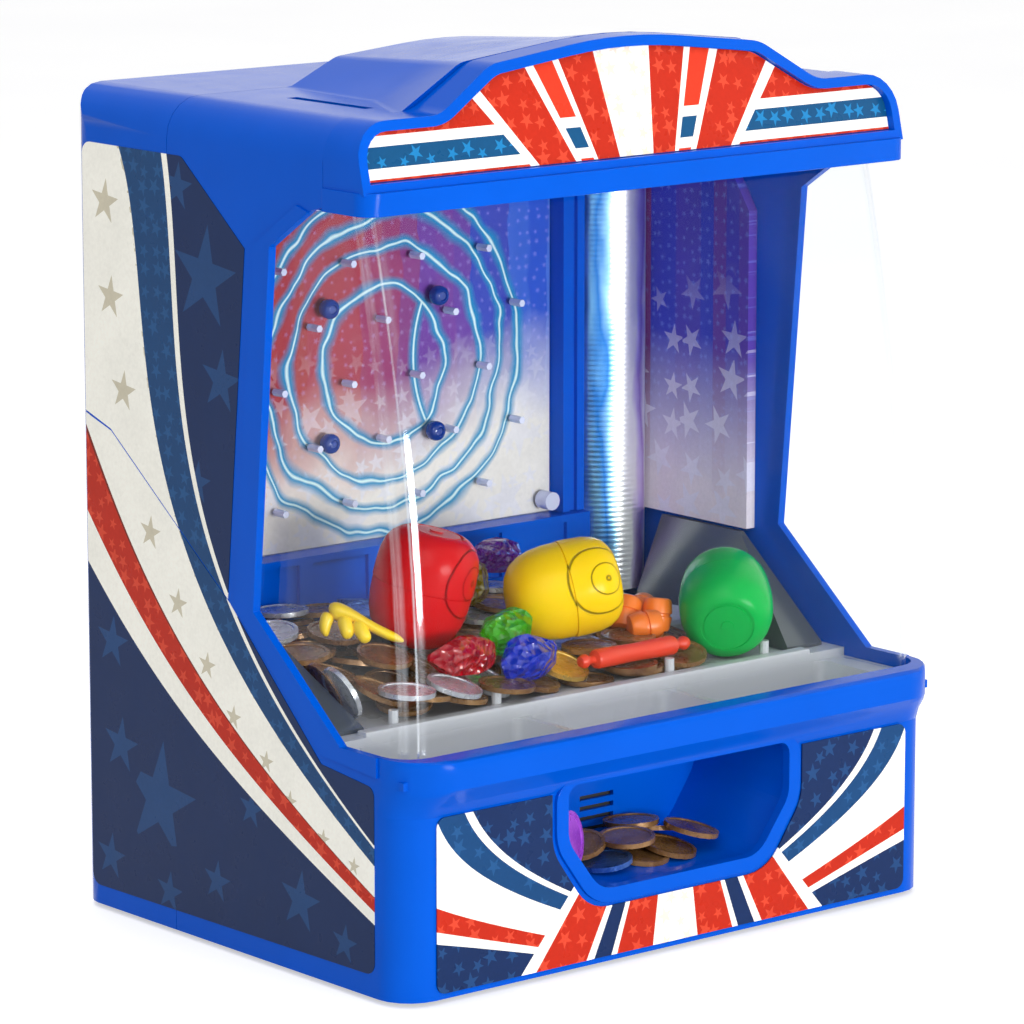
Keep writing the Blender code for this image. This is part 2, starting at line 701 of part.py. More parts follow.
def make_base():
    plan = cabinet_plan(WALL + GAP, WALL + GAP, INNER_BACK - GAP)
    base = prism("base_plate", "plan", [plan], (0, BASE_THICKNESS), BLUE)
    through = (-REACH, BASE_THICKNESS + REACH)
    bay_span = (BAY_LEFT - GAP, BAY_RIGHT + GAP)
    cut(base, block("bay_cut", bay_span, (BAY_FRONT - GAP, BAY_BACK + GAP), through))
    for x in (SCREW_X, -SCREW_X):
        cut(base, cylinder("screw_hole", (x, SCREW_DEPTH), SCREW_RADIUS + 0.4, through, steps=12))
    foot = BASE_THICKNESS - 1
    for x in (CIRCUIT_LEFT + 7, CIRCUIT_RIGHT - 8):
        for depth in (CIRCUIT_FRONT + 6, CIRCUIT_BACK - 6):
            heights = (foot, CIRCUIT_HEIGHT - GAP)
            join(base, cylinder("board_post", (x, depth), 3, heights, steps=8))
    rest_depths = (POCKET_BACK + 1, POCKET_BACK + 5)
    rest_top = SPEAKER_HEIGHT - SPEAKER_RADIUS - GAP
    join(base, block("speaker_rest", (SPEAKER_X - 6, SPEAKER_X + 6), rest_depths, (foot, rest_top)))
    join(base, block("pocket_rest", (-20, 20), CHUTE_DEPTHS, (foot, POCKET_FLOOR - GAP)))


def make_screws():
    for number, x in enumerate((-SCREW_X, SCREW_X), start=1):
        profile = [
            (0, 14),
            (SCREW_RADIUS, 14),
            (SCREW_RADIUS, -GAP),
            (SCREW_HEAD_RADIUS, -GAP),
            (SCREW_HEAD_RADIUS, -1.2),
            (SCREW_HEAD_RADIUS - 0.8, -1.7),
            (0, -1.7),
        ]
        turned(f"base_screw_{number}", (x, SCREW_DEPTH), profile, STEEL, steps=12)


def make_feet():
    across = HALF_WIDTH - FOOT_INSET
    depths = (FOOT_FRONT, BODY_DEPTH - FOOT_BACK_INSET)
    places = [(x, depth) for depth in depths for x in (-across, across)]
    for number, centre in enumerate(places, start=1):
        profile = [
            (0, -GAP / 2),
            (FOOT_RADIUS, -GAP / 2),
            (FOOT_RADIUS, -FOOT_HEIGHT * 0.7),
            (FOOT_RADIUS - 1, -FOOT_HEIGHT),
            (0, -FOOT_HEIGHT),
        ]
        turned(f"foot_{number}", centre, profile, DARK, steps=16)


def header_outline(inset=0.0):
    """The header's outline, with its crown as one long arc."""
    half = [
        (HALF_WIDTH - inset, SHELF_TOP - 1 + inset, 0),
        (HALF_WIDTH - inset, SHOULDER_HEIGHT - inset, 15 - inset),
        (ARCH_FOOT_HALF - inset * 0.4, SHOULDER_HEIGHT - inset, 18 + inset),
        (ARCH_SIDE_HALF - inset * 0.6, ARCH_SIDE_HEIGHT - inset, 20 - inset),
    ]
    crown = (0, ARCH_PEAK - inset, 250)
    other_half = [(-corner[0], *corner[1:]) for corner in reversed(half)]
    return rounded([*half, crown, *other_half], steps=6)


def leaning(piece):
    """Leans a piece of the header back about the front edge of the shelf's top."""
    bpy.context.view_layer.update()
    shear = Matrix.Identity(4)
    shear[1][2] = HEADER_LEAN
    pivot = at(0, 0, SHELF_TOP)
    move = Matrix.Translation(pivot) @ shear @ Matrix.Translation(-pivot)
    piece.data.transform(move @ piece.matrix_world)
    piece.matrix_world = Matrix.Identity(4)
    return piece


def make_header():
    hood = prism("header_hood", "front", [header_outline()], (HOOD_FRONT, HOOD_BACK), BLUE)
    leaning(soften(hood, 1.0))
    shelf_half = HALF_WIDTH + BEZEL_PROUD
    shelf_plan = mirrored([(shelf_half, SHELF_FRONT, 8), (shelf_half, HOOD_BACK, 0)])
    shelf = prism("shelf", "plan", [shelf_plan], (SHELF_BOTTOM, SHELF_TOP))
    join(hood, soften(shelf, 1.2))
    face = HOOD_FRONT + LABEL_SET
    recess_back = face + LABEL_THICKNESS + GAP
    hollow_depths = (recess_back + WALL, HOOD_BACK + REACH)
    under_heights = (SHELF_BOTTOM + WALL, SHELF_TOP + 5.5)
    recess_depths = (HOOD_FRONT - REACH, recess_back)
    behind = (HOOD_BACK, HUMP_MIDDLE)
    above = (SHELF_TOP, ARCH_PEAK + REACH)
    cut(
        hood,
        leaning(prism("label_recess", "front", [header_outline(HEADER_BEAD)], recess_depths)),
        leaning(prism("hood_hollow", "front", [header_outline(WALL)], hollow_depths)),
        block("hood_under", (-INNER_HALF, INNER_HALF), hollow_depths, under_heights),
        block("hood_back", (-BODY_WIDTH, BODY_WIDTH), behind, above),
    )
    outline = header_outline(HEADER_BEAD + GAP)
    leaning(prism("header_label", "front", [outline], (face, face + LABEL_THICKNESS), LABEL))


def cover_front(height):
    """How far back the clear cover's front face lies at a height: it curves back towards the shelf."""
    share = (height - TRAY_RIM) / (SHELF_BOTTOM - TRAY_RIM)
    return WALL + 2 * GAP + COVER_LEAN * share**2


def cover_back(height):
    """Where the cover's side ends, just behind the bezel of the side opening."""
    corners = [
        (OPENING_FOOT[0], TRAY_RIM - 5),
        OPENING_WAIST,
        OPENING_SHOULDER,
        (OPENING_TOP[0], SHELF_BOTTOM + 1),
    ]
    for (depth_low, low), (depth_high, high) in zip(corners, corners[1:]):
        if low <= height <= high:
            share = (height - low) / (high - low)
            return depth_low + (depth_high - depth_low) * share + COVER_OVERLAP
    return corners[-1][0] + COVER_OVERLAP


def cover_section(height):
    """A U of sheet: out along the left side, round the front, and back along the inside."""
    sections = []
    for inset in (0, COVER_THICKNESS):
        half, front = COVER_HALF - inset, cover_front(height) + inset
        back, radius = cover_back(height), COVER_RADIUS - inset
        arcs = rounded(
            [(-half, back, 0), (-half, front, radius), (half, front, radius), (half, back, 0)], steps=6
        )
        sections.append([(point[0], point[1], height) for point in arcs])
    return sections[0] + sections[1][::-1]


def make_clear_cover():
    low, waist, shoulder = TRAY_RIM + GAP, OPENING_WAIST[1], OPENING_SHOULDER[1]
    heights = [low + (waist - low) * i / 4 for i in range(4)]
    heights += [waist + (shoulder - waist) * i / 6 for i in range(7)]
    loft("clear_cover", [cover_section(height) for height in [*heights, CHAMBER_TOP]], CLEAR)


def make_labels():
    low = HALF_WIDTH - 0.25
    for side, side_name in ((-1, "left"), (1, "right")):
        for upper, level in ((True, "upper"), (False, "lower")):
            span = (low, low + LABEL_THICKNESS) if side > 0 else (-low - LABEL_THICKNESS, -low)
            prism(f"{side_name}_label_{level}", "side", [side_label_outline(upper)], span, LABEL)
    outer = rectangle((-FRONT_LABEL_HALF, FRONT_LABEL_HALF), (2.4, LIP_START - 0.4), 4)
    side = WINDOW_HALF + SURROUND + 1.7
    gap_outline = mirrored(
        [
            (side - 18.7, WINDOW_BOTTOM - 7.4, 20),
            (side, WINDOW_BOTTOM + 19.5, 20),
            (side, LIP_START + REACH, 0),
        ]
    )
    label = prism("front_label", "front", [outer], (-GAP - LABEL_THICKNESS, -GAP), LABEL)
    cut(label, prism("front_label_gap", "front", [gap_outline], (-REACH, REACH)))


# Prize pocket and play tray


def make_prize_tray():
    front, back = WALL + GAP, POCKET_BACK
    heights = (POCKET_FLOOR, POCKET_TOP)
    tray = block("prize_tray", (-POCKET_HALF, POCKET_HALF), (front, back), heights, BLUE)
    outline = rounded(window_outline(1.5), steps=4)
    mouth_foot = WINDOW_BOTTOM - 1.5
    mouth = [(point[0], front - 1, min(point[1], POCKET_TOP + 3)) for point in outline]
    rear = [
        (x * 0.92, back - POCKET_WALL, WINDOW_BOTTOM + 3 + (height - mouth_foot) * 0.98)
        for x, _, height in mouth
    ]
    cut(tray, loft("pocket", [mouth, rear]))
    chute_half = DIVIDER_AT - DIVIDER_WIDTH
    chute_depths = (CHUTE_DEPTHS[0] - 2, CHUTE_DEPTHS[1] + 2)
    chute_heights = (POCKET_TOP - 16, POCKET_TOP + 14)
    cut(tray, block("pocket_chute", (-chute_half, chute_half), chute_depths, chute_heights))
    slot_span = (SPEAKER_X - 9, SPEAKER_X + 9)
    for i in range(-2, 3):
        middle = SPEAKER_HEIGHT + i * SPEAKER_SLOT_PITCH
        cut(
            tray,
            block("speaker_slot", slot_span, (back - REACH, back + REACH), (middle - 1, middle + 1)),
        )


def make_speaker():
    cone = circle(SPEAKER_X, SPEAKER_HEIGHT, SPEAKER_RADIUS)
    speaker = prism("speaker", "front", [cone], (POCKET_BACK + GAP, POCKET_BACK + 5), DARK)
    magnet = circle(SPEAKER_X, SPEAKER_HEIGHT, SPEAKER_RADIUS - 6, 16)
    join(speaker, prism("magnet", "front", [magnet], (POCKET_BACK + 4, POCKET_BACK + SPEAKER_DEPTH)))


def trough(span):
    """A trough that tapers down to its floor, as a helper."""
    rings = (
        (3, 3, 1.5, 4, TROUGH_FLOOR),
        (0, 0, 0, 5, TRAY_RIM + 0.5),
    )
    sections = []
    for side, front, back, radius, height in rings:
        ends, depths = (span[0] + side, span[1] - side), (TROUGH_FRONT + front, TROUGH_BACK - back)
        ring = rounded(rectangle(ends, depths, radius), steps=3)
        sections.append([(point[0], point[1], height) for point in ring])
    return loft("trough", sections)


def make_play_tray():
    front = WALL + GAP
    tray_span = (-TROUGH_OUTER - 5, TROUGH_OUTER + 5)
    tray = block("play_tray", tray_span, (front + 2, BAR_BACK), (TRAY_UNDERSIDE, TRAY_RIM), SILVER)
    rim = mirrored([(TRAY_HALF, front, FRONT_RADIUS - WALL), (TRAY_HALF, BAR_BACK, 0)])
    join(tray, prism("tray_rim", "plan", [rim], (TRAY_RIM - RIM_THICKNESS, TRAY_RIM)))
    deck_heights = (DECK_UNDERSIDE - RIM_THICKNESS, DECK_TOP)
    join(tray, block("deck", (-TRAY_HALF, TRAY_HALF), (TROUGH_BACK, DECK_BACK), deck_heights))
    under_depths = (BAR_BACK + 2, DECK_BACK - 2)
    under_heights = (DECK_UNDERSIDE - REACH, DECK_UNDERSIDE)
    under_half = TRAY_HALF - 6
    cut(tray, block("deck_under", (-under_half, under_half), under_depths, under_heights))
    bar_half = WING_FOOT_HALF + 6
    bar_depths = (TROUGH_BACK, BAR_BACK - 1)
    join(tray, soften(block("bar", (-bar_half, bar_half), bar_depths, (DECK_TOP - 1, BAR_TOP)), 0.8))
    divider_outer, divider_inner = DIVIDER_AT + DIVIDER_WIDTH / 2, DIVIDER_AT - DIVIDER_WIDTH / 2
    cut(
        tray,
        trough((-TROUGH_OUTER, -divider_outer)),
        trough((-divider_inner, divider_inner)),
        trough((divider_outer, TROUGH_OUTER)),
    )
    chute_heights = (TRAY_UNDERSIDE - REACH, TROUGH_FLOOR + REACH)
    cut(tray, block("chute_hole", (-CHUTE_HALF, CHUTE_HALF), CHUTE_DEPTHS, chute_heights))
    post_heights = (DECK_TOP - 1, DECK_TOP + POST_HEIGHT)
    for x in (-PUSHER_HALF + 8.5, -DIVIDER_AT - 7.5, DIVIDER_AT + 7.5, PUSHER_HALF - 8.5):
        centre = (x, BAR_BACK + 0.5)
        join(tray, cylinder("guide_post", centre, POST_RADIUS, post_heights, steps=10))
    rail_depths = (PUSHER_FRONT + 2, DECK_BACK)
    for side in (-1, 1):
        span = sorted((side * (PUSHER_HALF + GAP), side * (PUSHER_HALF + GAP + RAIL_WIDTH)))
        join(tray, block("rail", span, rail_depths, (DECK_TOP - 1, DECK_TOP + RAIL_HEIGHT)))
    slot_reach = CRANK_RADIUS + YOKE_DEPTH / 2 + 1
    slot_depths = (CRANK_DEPTH - slot_reach, CRANK_DEPTH + slot_reach)
    slot_heights = (DECK_UNDERSIDE - REACH, DECK_TOP + REACH)
    cut(tray, block("yoke_slot", (-YOKE_HALF - 1, YOKE_HALF + 1), slot_depths, slot_heights))


def make_wings():
    """Sloping plates that steer tokens in from the side walls, cut to the slope of the side opening."""
    rise = OPENING_WAIST[1] - OPENING_FOOT[1]
    run = OPENING_WAIST[0] - OPENING_FOOT[0]
    slope = rise / run
    start, low = BAR_BACK + 1.5, DECK_TOP + GAP
    for side, side_name in ((-1, "left"), (1, "right")):
        foot, outer = side * WING_FOOT_HALF, side * WING_OUTER
        edge = (outer - side * WING_EDGE, WING_TOP, 0)
        outline = [(foot, low, 0), (outer, low, 0), (outer, WING_TOP, 0), edge]
        wing = prism(f"{side_name}_wing", "front", [outline], (start, WING_BACK), SILVER)
        top, above = low + 1.5, WING_TOP + REACH
        reach = (above - top) / slope
        away = [(start - 5, above, 0), (start - 5, top, 0), (start, top, 0), (start + reach, above, 0)]
        cut(wing, prism("slope", "side", [away], (-HALF_WIDTH, HALF_WIDTH)))


def make_pusher():
    outline = [
        (PUSHER_FRONT, PUSHER_BOTTOM, 0),
        (PUSHER_FRONT, PUSHER_TOP - 1.5, 0),
        (PUSHER_FRONT + 1.5, PUSHER_TOP, 0),
        (PUSHER_BACK, PUSHER_TOP, 0),
        (PUSHER_BACK, PUSHER_BOTTOM, 0),
    ]
    pusher = prism("pusher", "side", [outline], (-PUSHER_HALF, PUSHER_HALF), SILVER)
    yoke_depths = (YOKE_MIDDLE - YOKE_DEPTH / 2, YOKE_MIDDLE + YOKE_DEPTH / 2)
    yoke_heights = (YOKE_BOTTOM, PUSHER_BOTTOM + 2)
    join(pusher, block("yoke", (-YOKE_HALF, YOKE_HALF), yoke_depths, yoke_heights))
    groove_half = CRANK_RADIUS + CRANK_PIN_RADIUS + PIN_CLEARANCE
    groove_reach = CRANK_PIN_RADIUS + 0.2
    groove_depths = (YOKE_MIDDLE - groove_reach, YOKE_MIDDLE + groove_reach)
    groove_heights = (YOKE_BOTTOM - REACH, DECK_TOP - 2)
    cut(pusher, block("yoke_groove", (-groove_half, groove_half), groove_depths, groove_heights))
    pivot(pusher, (0, YOKE_MIDDLE, PUSHER_BOTTOM))


# Back of the play chamber


def make_pin_plate():
    """The clear plate over the print, with its pegs and a knob moulded on."""
    face, low = BOARD_FACE - PIN_PLATE_THICKNESS, BOARD_BOTTOM + GAP
    span = (BOARD_LEFT + 1, BOARD_RIGHT - 1)
    plate = block("pin_plate", span, (face, BOARD_FACE), (low, CHAMBER_TOP - 1), CLEAR)
    half_pitch = PEG_PITCH / 2
    columns = int((span[1] - BOARD_LEFT - PEG_MARGIN[0] - half_pitch - PEG_RADIUS) // PEG_PITCH) + 1
    rows = int((CHAMBER_TOP - 1 - BOARD_BOTTOM - PEG_MARGIN[1] - PEG_RADIUS) // PEG_ROW_PITCH) + 1
    outlines = [circle(BOARD_RIGHT - 6, BOARD_BOTTOM + 6, 4, 12)]
    for row in range(rows):
        height = BOARD_BOTTOM + PEG_MARGIN[1] + PEG_ROW_PITCH * row
        for column in range(columns):
            x = BOARD_LEFT + PEG_MARGIN[0] + PEG_PITCH * column + half_pitch * (row % 2)
            outlines.append(circle(x, height, PEG_RADIUS, 6))
    join(plate, prism("pegs", "front", outlines, (face - PEG_LENGTH, face + 0.5)))


def make_sill():
    """The ribbed step under the pinboard, above the back of the pusher."""
    left, right = -PANEL_FACE + 0.5, BOARD_RIGHT + PILLAR_WIDTH
    heights = (PUSHER_TOP + GAP, BOARD_BOTTOM)
    sill = block("pinboard_sill", (left, right), (SILL_FRONT, BOARD_FACE + 4), heights, BLUE)
    flutes = int((right - left - 4) // SILL_FLUTE_PITCH)
    for i in range(flutes):
        x = left + 4 + SILL_FLUTE_PITCH * i
        span = (x, x + SILL_FLUTE_WIDTH)
        flute_heights = (PUSHER_TOP + 14, BOARD_BOTTOM - 3)
        cut(sill, block("sill_flute", span, (SILL_FRONT - REACH, SILL_FRONT + 2), flute_heights))


def make_backdrop():
    low, high = BOARD_BOTTOM + GAP, CHAMBER_TOP
    board_depths = (BOARD_FACE + 1, BOARD_FACE + 4)
    board = block("pinboard", (BOARD_LEFT, BOARD_RIGHT + 3), board_depths, (low, high), BLUE)
    pillar = (BOARD_RIGHT + GAP, BOARD_RIGHT + PILLAR_WIDTH)
    join(board, block("trim_pillar", pillar, (BOARD_FACE - 8, BOARD_FACE + 4.5), (low, high)))
    groove = (BOARD_RIGHT + PILLAR_WIDTH / 3, BOARD_RIGHT + PILLAR_WIDTH * 2 / 3)
    groove_heights = (low - REACH, high + REACH)
    cut(board, block("pillar_groove", groove, (BOARD_FACE - 9, BOARD_FACE - 6), groove_heights))
    print_span = (BOARD_LEFT + 0.5, BOARD_RIGHT - 0.5)
    print_depths = (BOARD_FACE + GAP, BOARD_FACE + 0.7)
    block("pinboard_print", print_span, print_depths, (low, high - 0.5), PRINT)
    foot = PUSHER_TOP + GAP
    arc = [Vector((cos(turn), sin(turn))) for turn in (pi + pi * i / 16 for i in range(17))]
    column = [Vector((COLUMN_X, COLUMN_BACK)) + point * COLUMN_RADIUS for point in arc]
    prism("foil_column", "plan", [column], (foot, high), FOIL)
    for side, side_name in ((-1, "left"), (1, "right")):
        outline = [
            (PANEL_FRONT, WING_TOP + 1, 0),
            (PANEL_BACK, WING_TOP + 1, 0),
            (PANEL_BACK, high, 0),
            (PANEL_FRONT + PANEL_SLOPE[0], high, 0),
            (PANEL_FRONT, high - PANEL_SLOPE[1], 0),
        ]
        span = sorted((side * PANEL_FACE, side * (INNER_HALF - GAP)))
        prism(f"{side_name}_wall_panel", "side", [outline], span, PRINT)


def make_ceiling():
    half, back = INNER_HALF - GAP, INNER_BACK - GAP
    plan = mirrored([(half, HOOD_BACK + 1.2, 0), (half, back, BACK_RADIUS)])
    heights = (CEILING_LOW, CEILING_LOW + CEILING_THICKNESS)
    prism("ceiling_panel", "plan", [plan], heights, BLUE)


def make_coin_chute():
    """A channel under the roof slot, whose floor slopes back towards the pinboard."""
    low, high = CEILING_LOW + CEILING_THICKNESS + GAP, BODY_HEIGHT - WALL - GAP
    back = BOARD_FACE - 7
    outer = SLOT_WIDTH / 2 + CHUTE_WALL
    span = (SLOT_X - outer, SLOT_X + outer)
    chute = block("coin_chute", span, (SLOT_FRONT - 3, back), (low, high), BLUE)
    above = high + REACH
    lane = [
        (SLOT_FRONT, above, 0),
        (SLOT_FRONT, high - 11, 0),
        (back + 4, low + 2, 0),
        (back + 4, above, 0),
    ]
    half = SLOT_WIDTH / 2 - 0.1
    cut(chute, prism("lane", "side", [lane], (SLOT_X - half, SLOT_X + half)))


# Drive


def gear_outline(teeth, phase=0.0):
    """A spur gear's outline: straight-flanked teeth with a little backlash, tooth 0 centred on the phase."""
    pitch = teeth * GEAR_MODULE / 2
    tip, root = pitch + GEAR_MODULE * 0.9, pitch - GEAR_MODULE * 1.2
    quarter = pi / (2 * teeth)
    slack = GEAR_BACKLASH / 2 / pitch
    lean = GEAR_MODULE * tan(radians(20))
    half_tip = quarter - slack - 0.9 * lean / pitch
    half_root = quarter - slack + 1.1 * lean / pitch
    points = []
    for tooth in range(teeth):
        middle = phase + 2 * pi * tooth / teeth
        for radius, turn in ((root, -half_root), (tip, -half_tip), (tip, half_tip), (root, half_root)):
            points.append(Vector((radius * cos(middle + turn), radius * sin(middle + turn))))
    return points


def make_gear(name, centre, teeth, phase, bore):
    moved = [point + Vector(centre) for point in gear_outline(teeth, phase)]
    return prism(name, "plan", [moved, circle(*centre, bore)], (GEAR_BOTTOM, GEAR_TOP), WHITE)


def make_gears(crank_centre, idler_centre, motor_centre):
    running = AXLE_RADIUS + 0.2
    crank = make_gear("crank_wheel", crank_centre, CRANK_TEETH, 0, running)
    pin_heights = (GEAR_TOP - 1, YOKE_BOTTOM - PIN_CLEARANCE)
    join(crank, cylinder("crank_pin", (0, YOKE_MIDDLE), CRANK_PIN_RADIUS, pin_heights, steps=12))
    pivot(crank, (*crank_centre, GEAR_BOTTOM))
    # A gap of the idler faces the crank wheel, and with an even count one faces the pinion too
    idler = make_gear("idler_gear", idler_centre, IDLER_TEETH, pi + pi / IDLER_TEETH, running)
    pivot(idler, (*idler_centre, GEAR_BOTTOM))
    pinion = make_gear("motor_pinion", motor_centre, MOTOR_TEETH, pi, MOTOR_SHAFT_RADIUS + 0.2)
    pivot(pinion, (*motor_centre, GEAR_BOTTOM))


def make_drive():
    crank_centre, idler_centre = (0, CRANK_DEPTH), (IDLER_X, CRANK_DEPTH)
    motor_centre = (MOTOR_X, CRANK_DEPTH)
    make_gears(crank_centre, idler_centre, motor_centre)
    left, right, reach = -CRANK_PITCH - 9, MOTOR_X + 16, CRANK_PITCH + 7
    plate_depths, through = (CRANK_DEPTH - reach, CRANK_DEPTH + reach), (CHASSIS_BOTTOM, CHASSIS_TOP)
    plate = block("drive_chassis", (left, right), plate_depths, through, DARK)
    for x in (left + 3, right - 3):
        for depth in (CRANK_DEPTH - reach + 3, CRANK_DEPTH + reach - 3):
            heights = (CHASSIS_TOP - 1, DECK_UNDERSIDE - GAP)
            post = cylinder("chassis_post", (x, depth), CHASSIS_POST_RADIUS, heights, steps=10)
            join(plate, post)
    for centre in (crank_centre, idler_centre):
        heights = (CHASSIS_TOP - 1, GEAR_BOTTOM - GAP)
        join(plate, cylinder("gear_boss", centre, AXLE_RADIUS * 2, heights, steps=14))
        bore = (CHASSIS_BOTTOM - REACH, GEAR_BOTTOM + REACH)
        cut(plate, cylinder("axle_bore", centre, AXLE_RADIUS + 0.15, bore))
    shaft_hole = (CHASSIS_BOTTOM - REACH, CHASSIS_TOP + REACH)
    cut(plate, cylinder("shaft_hole", motor_centre, 4, shaft_hole, steps=14))
    low = CHASSIS_BOTTOM - GAP
    for name, centre in (("crank_axle", crank_centre), ("idler_axle", idler_centre)):
        profile = [
            (0, GEAR_TOP + 1.5),
            (AXLE_RADIUS + 1.5, GEAR_TOP + 1.5),
            (AXLE_RADIUS + 1.5, GEAR_TOP + GAP),
            (AXLE_RADIUS, GEAR_TOP + GAP),
            (AXLE_RADIUS, low),
            (AXLE_RADIUS + 1, low),
            (AXLE_RADIUS + 1, low - 1),
            (0, low - 1),
        ]
        turned(name, centre, profile, STEEL)
    profile = [
        (0, GEAR_TOP + 1),
        (MOTOR_SHAFT_RADIUS, GEAR_TOP + 1),
        (MOTOR_SHAFT_RADIUS, low + 1),
        (3.5, low + 1),
        (3.5, low),
        (MOTOR_RADIUS, low),
        (MOTOR_RADIUS, low - MOTOR_LENGTH),
        (4, low - MOTOR_LENGTH),
        (4, low - MOTOR_LENGTH - 2),
        (0, low - MOTOR_LENGTH - 2),
    ]
    turned("motor", motor_centre, profile, STEEL)


# Electrics


def make_circuit_board():
    low, top = CIRCUIT_HEIGHT, CIRCUIT_HEIGHT + CIRCUIT_THICKNESS
    span, depths = (CIRCUIT_LEFT, CIRCUIT_RIGHT), (CIRCUIT_FRONT, CIRCUIT_BACK)
    board = block("circuit_board", span, depths, (low, top), BOARD)
    for right, front, width, tall in ((22, 18, 12, 3), (56, 26, 18, 4), (82, 42, 8, 9)):
        x, depth = CIRCUIT_LEFT + right, CIRCUIT_FRONT + front
        join(board, block("chip", (x, x + width), (depth, depth + 10), (low + 1, top + tall)))


def make_batteries():
    low = BASE_THICKNESS + GAP
    top = low + 2 * CELL_RADIUS + 5
    span, depths = (BAY_LEFT, BAY_RIGHT), (BAY_FRONT, BAY_BACK)
    box_span = (BAY_LEFT - BAY_WALL, BAY_RIGHT + BAY_WALL)
    box_depths = (BAY_FRONT - BAY_WALL, BAY_BACK + BAY_WALL)
    box = block("battery_box", box_span, box_depths, (low, top), DARK)
    cut(box, block("battery_bay", span, depths, (-REACH, top - BAY_LID)))
    height = top - BAY_LID - GAP - CELL_RADIUS
    front, tip = BAY_FRONT + 2, BAY_FRONT + 2 + CELL_LENGTH
    for number in range(CELL_COUNT):
        x = BAY_LEFT + 3 + CELL_RADIUS + number * CELL_PITCH
        can = [circle(x, height, CELL_RADIUS)]
        case = prism(f"cell_{number + 1}", "front", can, (front, tip - 2), STEEL)
        join(case, prism("cell_tip", "front", [circle(x, height, 3, 10)], (tip - 3, tip)))
    door = block("battery_door", span, depths, (0, BASE_THICKNESS), BLUE)
    for i in range(3):
        depth = BAY_BACK - 14 + 3 * i
        grip_span = (BAY_LEFT + 28, BAY_RIGHT - 28)
        cut(door, block("grip", grip_span, (depth, depth + 1.2), (-REACH, 0.8)))


def make_switch():
    inside = INNER_BACK - GAP
    body_span, body_depths = (SWITCH_X - 9, SWITCH_X + 13), (inside - 6, inside)
    heights = (SWITCH_HEIGHT - 5, SWITCH_HEIGHT + 5)
    body = block("switch_body", body_span, body_depths, heights, DARK)
    cavity_heights = (SWITCH_HEIGHT - 2, SWITCH_HEIGHT + 2)
    cut(body, block("switch_cavity", SWITCH_SLOT, (inside - 4, inside + REACH), cavity_heights))
    knob_span = (SWITCH_SLOT[0] + GAP, SWITCH_SLOT[1] - GAP - SWITCH_TRAVEL)
    knob_heights = (cavity_heights[0] + GAP, cavity_heights[1] - GAP)
    knob = block("switch_knob", knob_span, (inside - 4 + GAP, BODY_DEPTH), knob_heights, DARK)
    pivot(knob, (SWITCH_X, inside, SWITCH_HEIGHT))


def make_rear_door():
    back = BODY_DEPTH
    door_depths, heights = (back - WALL + GAP, back), (DOOR_BOTTOM, DOOR_TOP)
    door = block("rear_door", (-DOOR_HALF, DOOR_HALF), door_depths, heights, BLUE)
    for x in (-HINGE_AT, HINGE_AT):
        span = (x - KNUCKLE_HALF, x + KNUCKLE_HALF)
        pin = (DOOR_PIN_DEPTH, DOOR_AXIS)
        inner = DOOR_PIN_DEPTH - 1
        join(
            door,
            block("arm", span, (inner, back - 0.5), (DOOR_AXIS + 1, DOOR_BOTTOM + 3)),
            block("arm_root", span, (inner, back - 1), (DOOR_BOTTOM - 1, DOOR_BOTTOM + 4)),
            prism("knuckle", "side", [circle(*pin, KNUCKLE_RADIUS, 16)], span),
        )
        bore_span = (span[0] - 3, span[1] + 3)
        cut(door, prism("pin_bore", "side", [circle(*pin, HINGE_BORE, 12)], bore_span))
    notch_heights = (DOOR_TOP - 6, DOOR_TOP + 2)
    cut(door, block("finger_notch", (-14, 14), (back - 1, back + 2), notch_heights))
    pivot(door, (0, DOOR_PIN_DEPTH, DOOR_AXIS))
    pin_half = HINGE_AT + KNUCKLE_HALF + LUG_WIDTH + 2
    outline = [circle(DOOR_PIN_DEPTH, DOOR_AXIS, HINGE_RADIUS, 12)]
    prism("rear_door_pin", "side", outline, (-pin_half, pin_half), STEEL)


# Loose contents


def capsule(name, centre, height, length, radius, tilt, material=None, grow=0.0):
    """A prize capsule: a short barrel with rounded ends, tilted about a level axis."""
    half, round_end = length / 2 + grow, radius * 0.62
    wide = radius + grow
    profile = [(0, half)]
    for step in range(1, 6):
        turn = pi / 2 * step / 5
        profile.append(
            (wide - round_end + round_end * sin(turn), half - round_end + round_end * cos(turn))
        )
    profile += [(point[0] * 0.93 + 0.02, -point[1]) for point in reversed(profile[1:])]
    profile.append((0, -half))
    piece = turned(name, (centre[0], centre[1]), profile, material, steps=18)
    piece.location = at(centre[0], centre[1], height)
    piece.rotation_euler = tuple(radians(angle) for angle in tilt)
    return piece


CAPSULES = (
    ("red_capsule", (-50, 101), 135.5, 48, 20, (8, 12, 0), RED),
    ("yellow_capsule", (16, 91), 127.0, 46, 19.5, (80, 0, 62), YELLOW),
    ("green_capsule", (91.5, 74), 115.6, 46, 19.2, (-72.5, 0, -40), GREEN),
)


def heap_section(x, fore, middle, rear):
    """The token heap's section at one x: on the deck in front, on the pusher behind."""
    low, step = DECK_TOP + GAP, PUSHER_TOP + GAP
    front, back = PUSHER_FRONT - GAP, SILL_FRONT - 0.5
    start = BAR_BACK + 6
    places = [
        (start, low),
        (start, low + 4),
        (76, fore),
        (100, middle),
        (back, rear),
        (back, step),
        (front, step),
        (front, low),
    ]
    return [(x, depth, height) for depth, height in places]


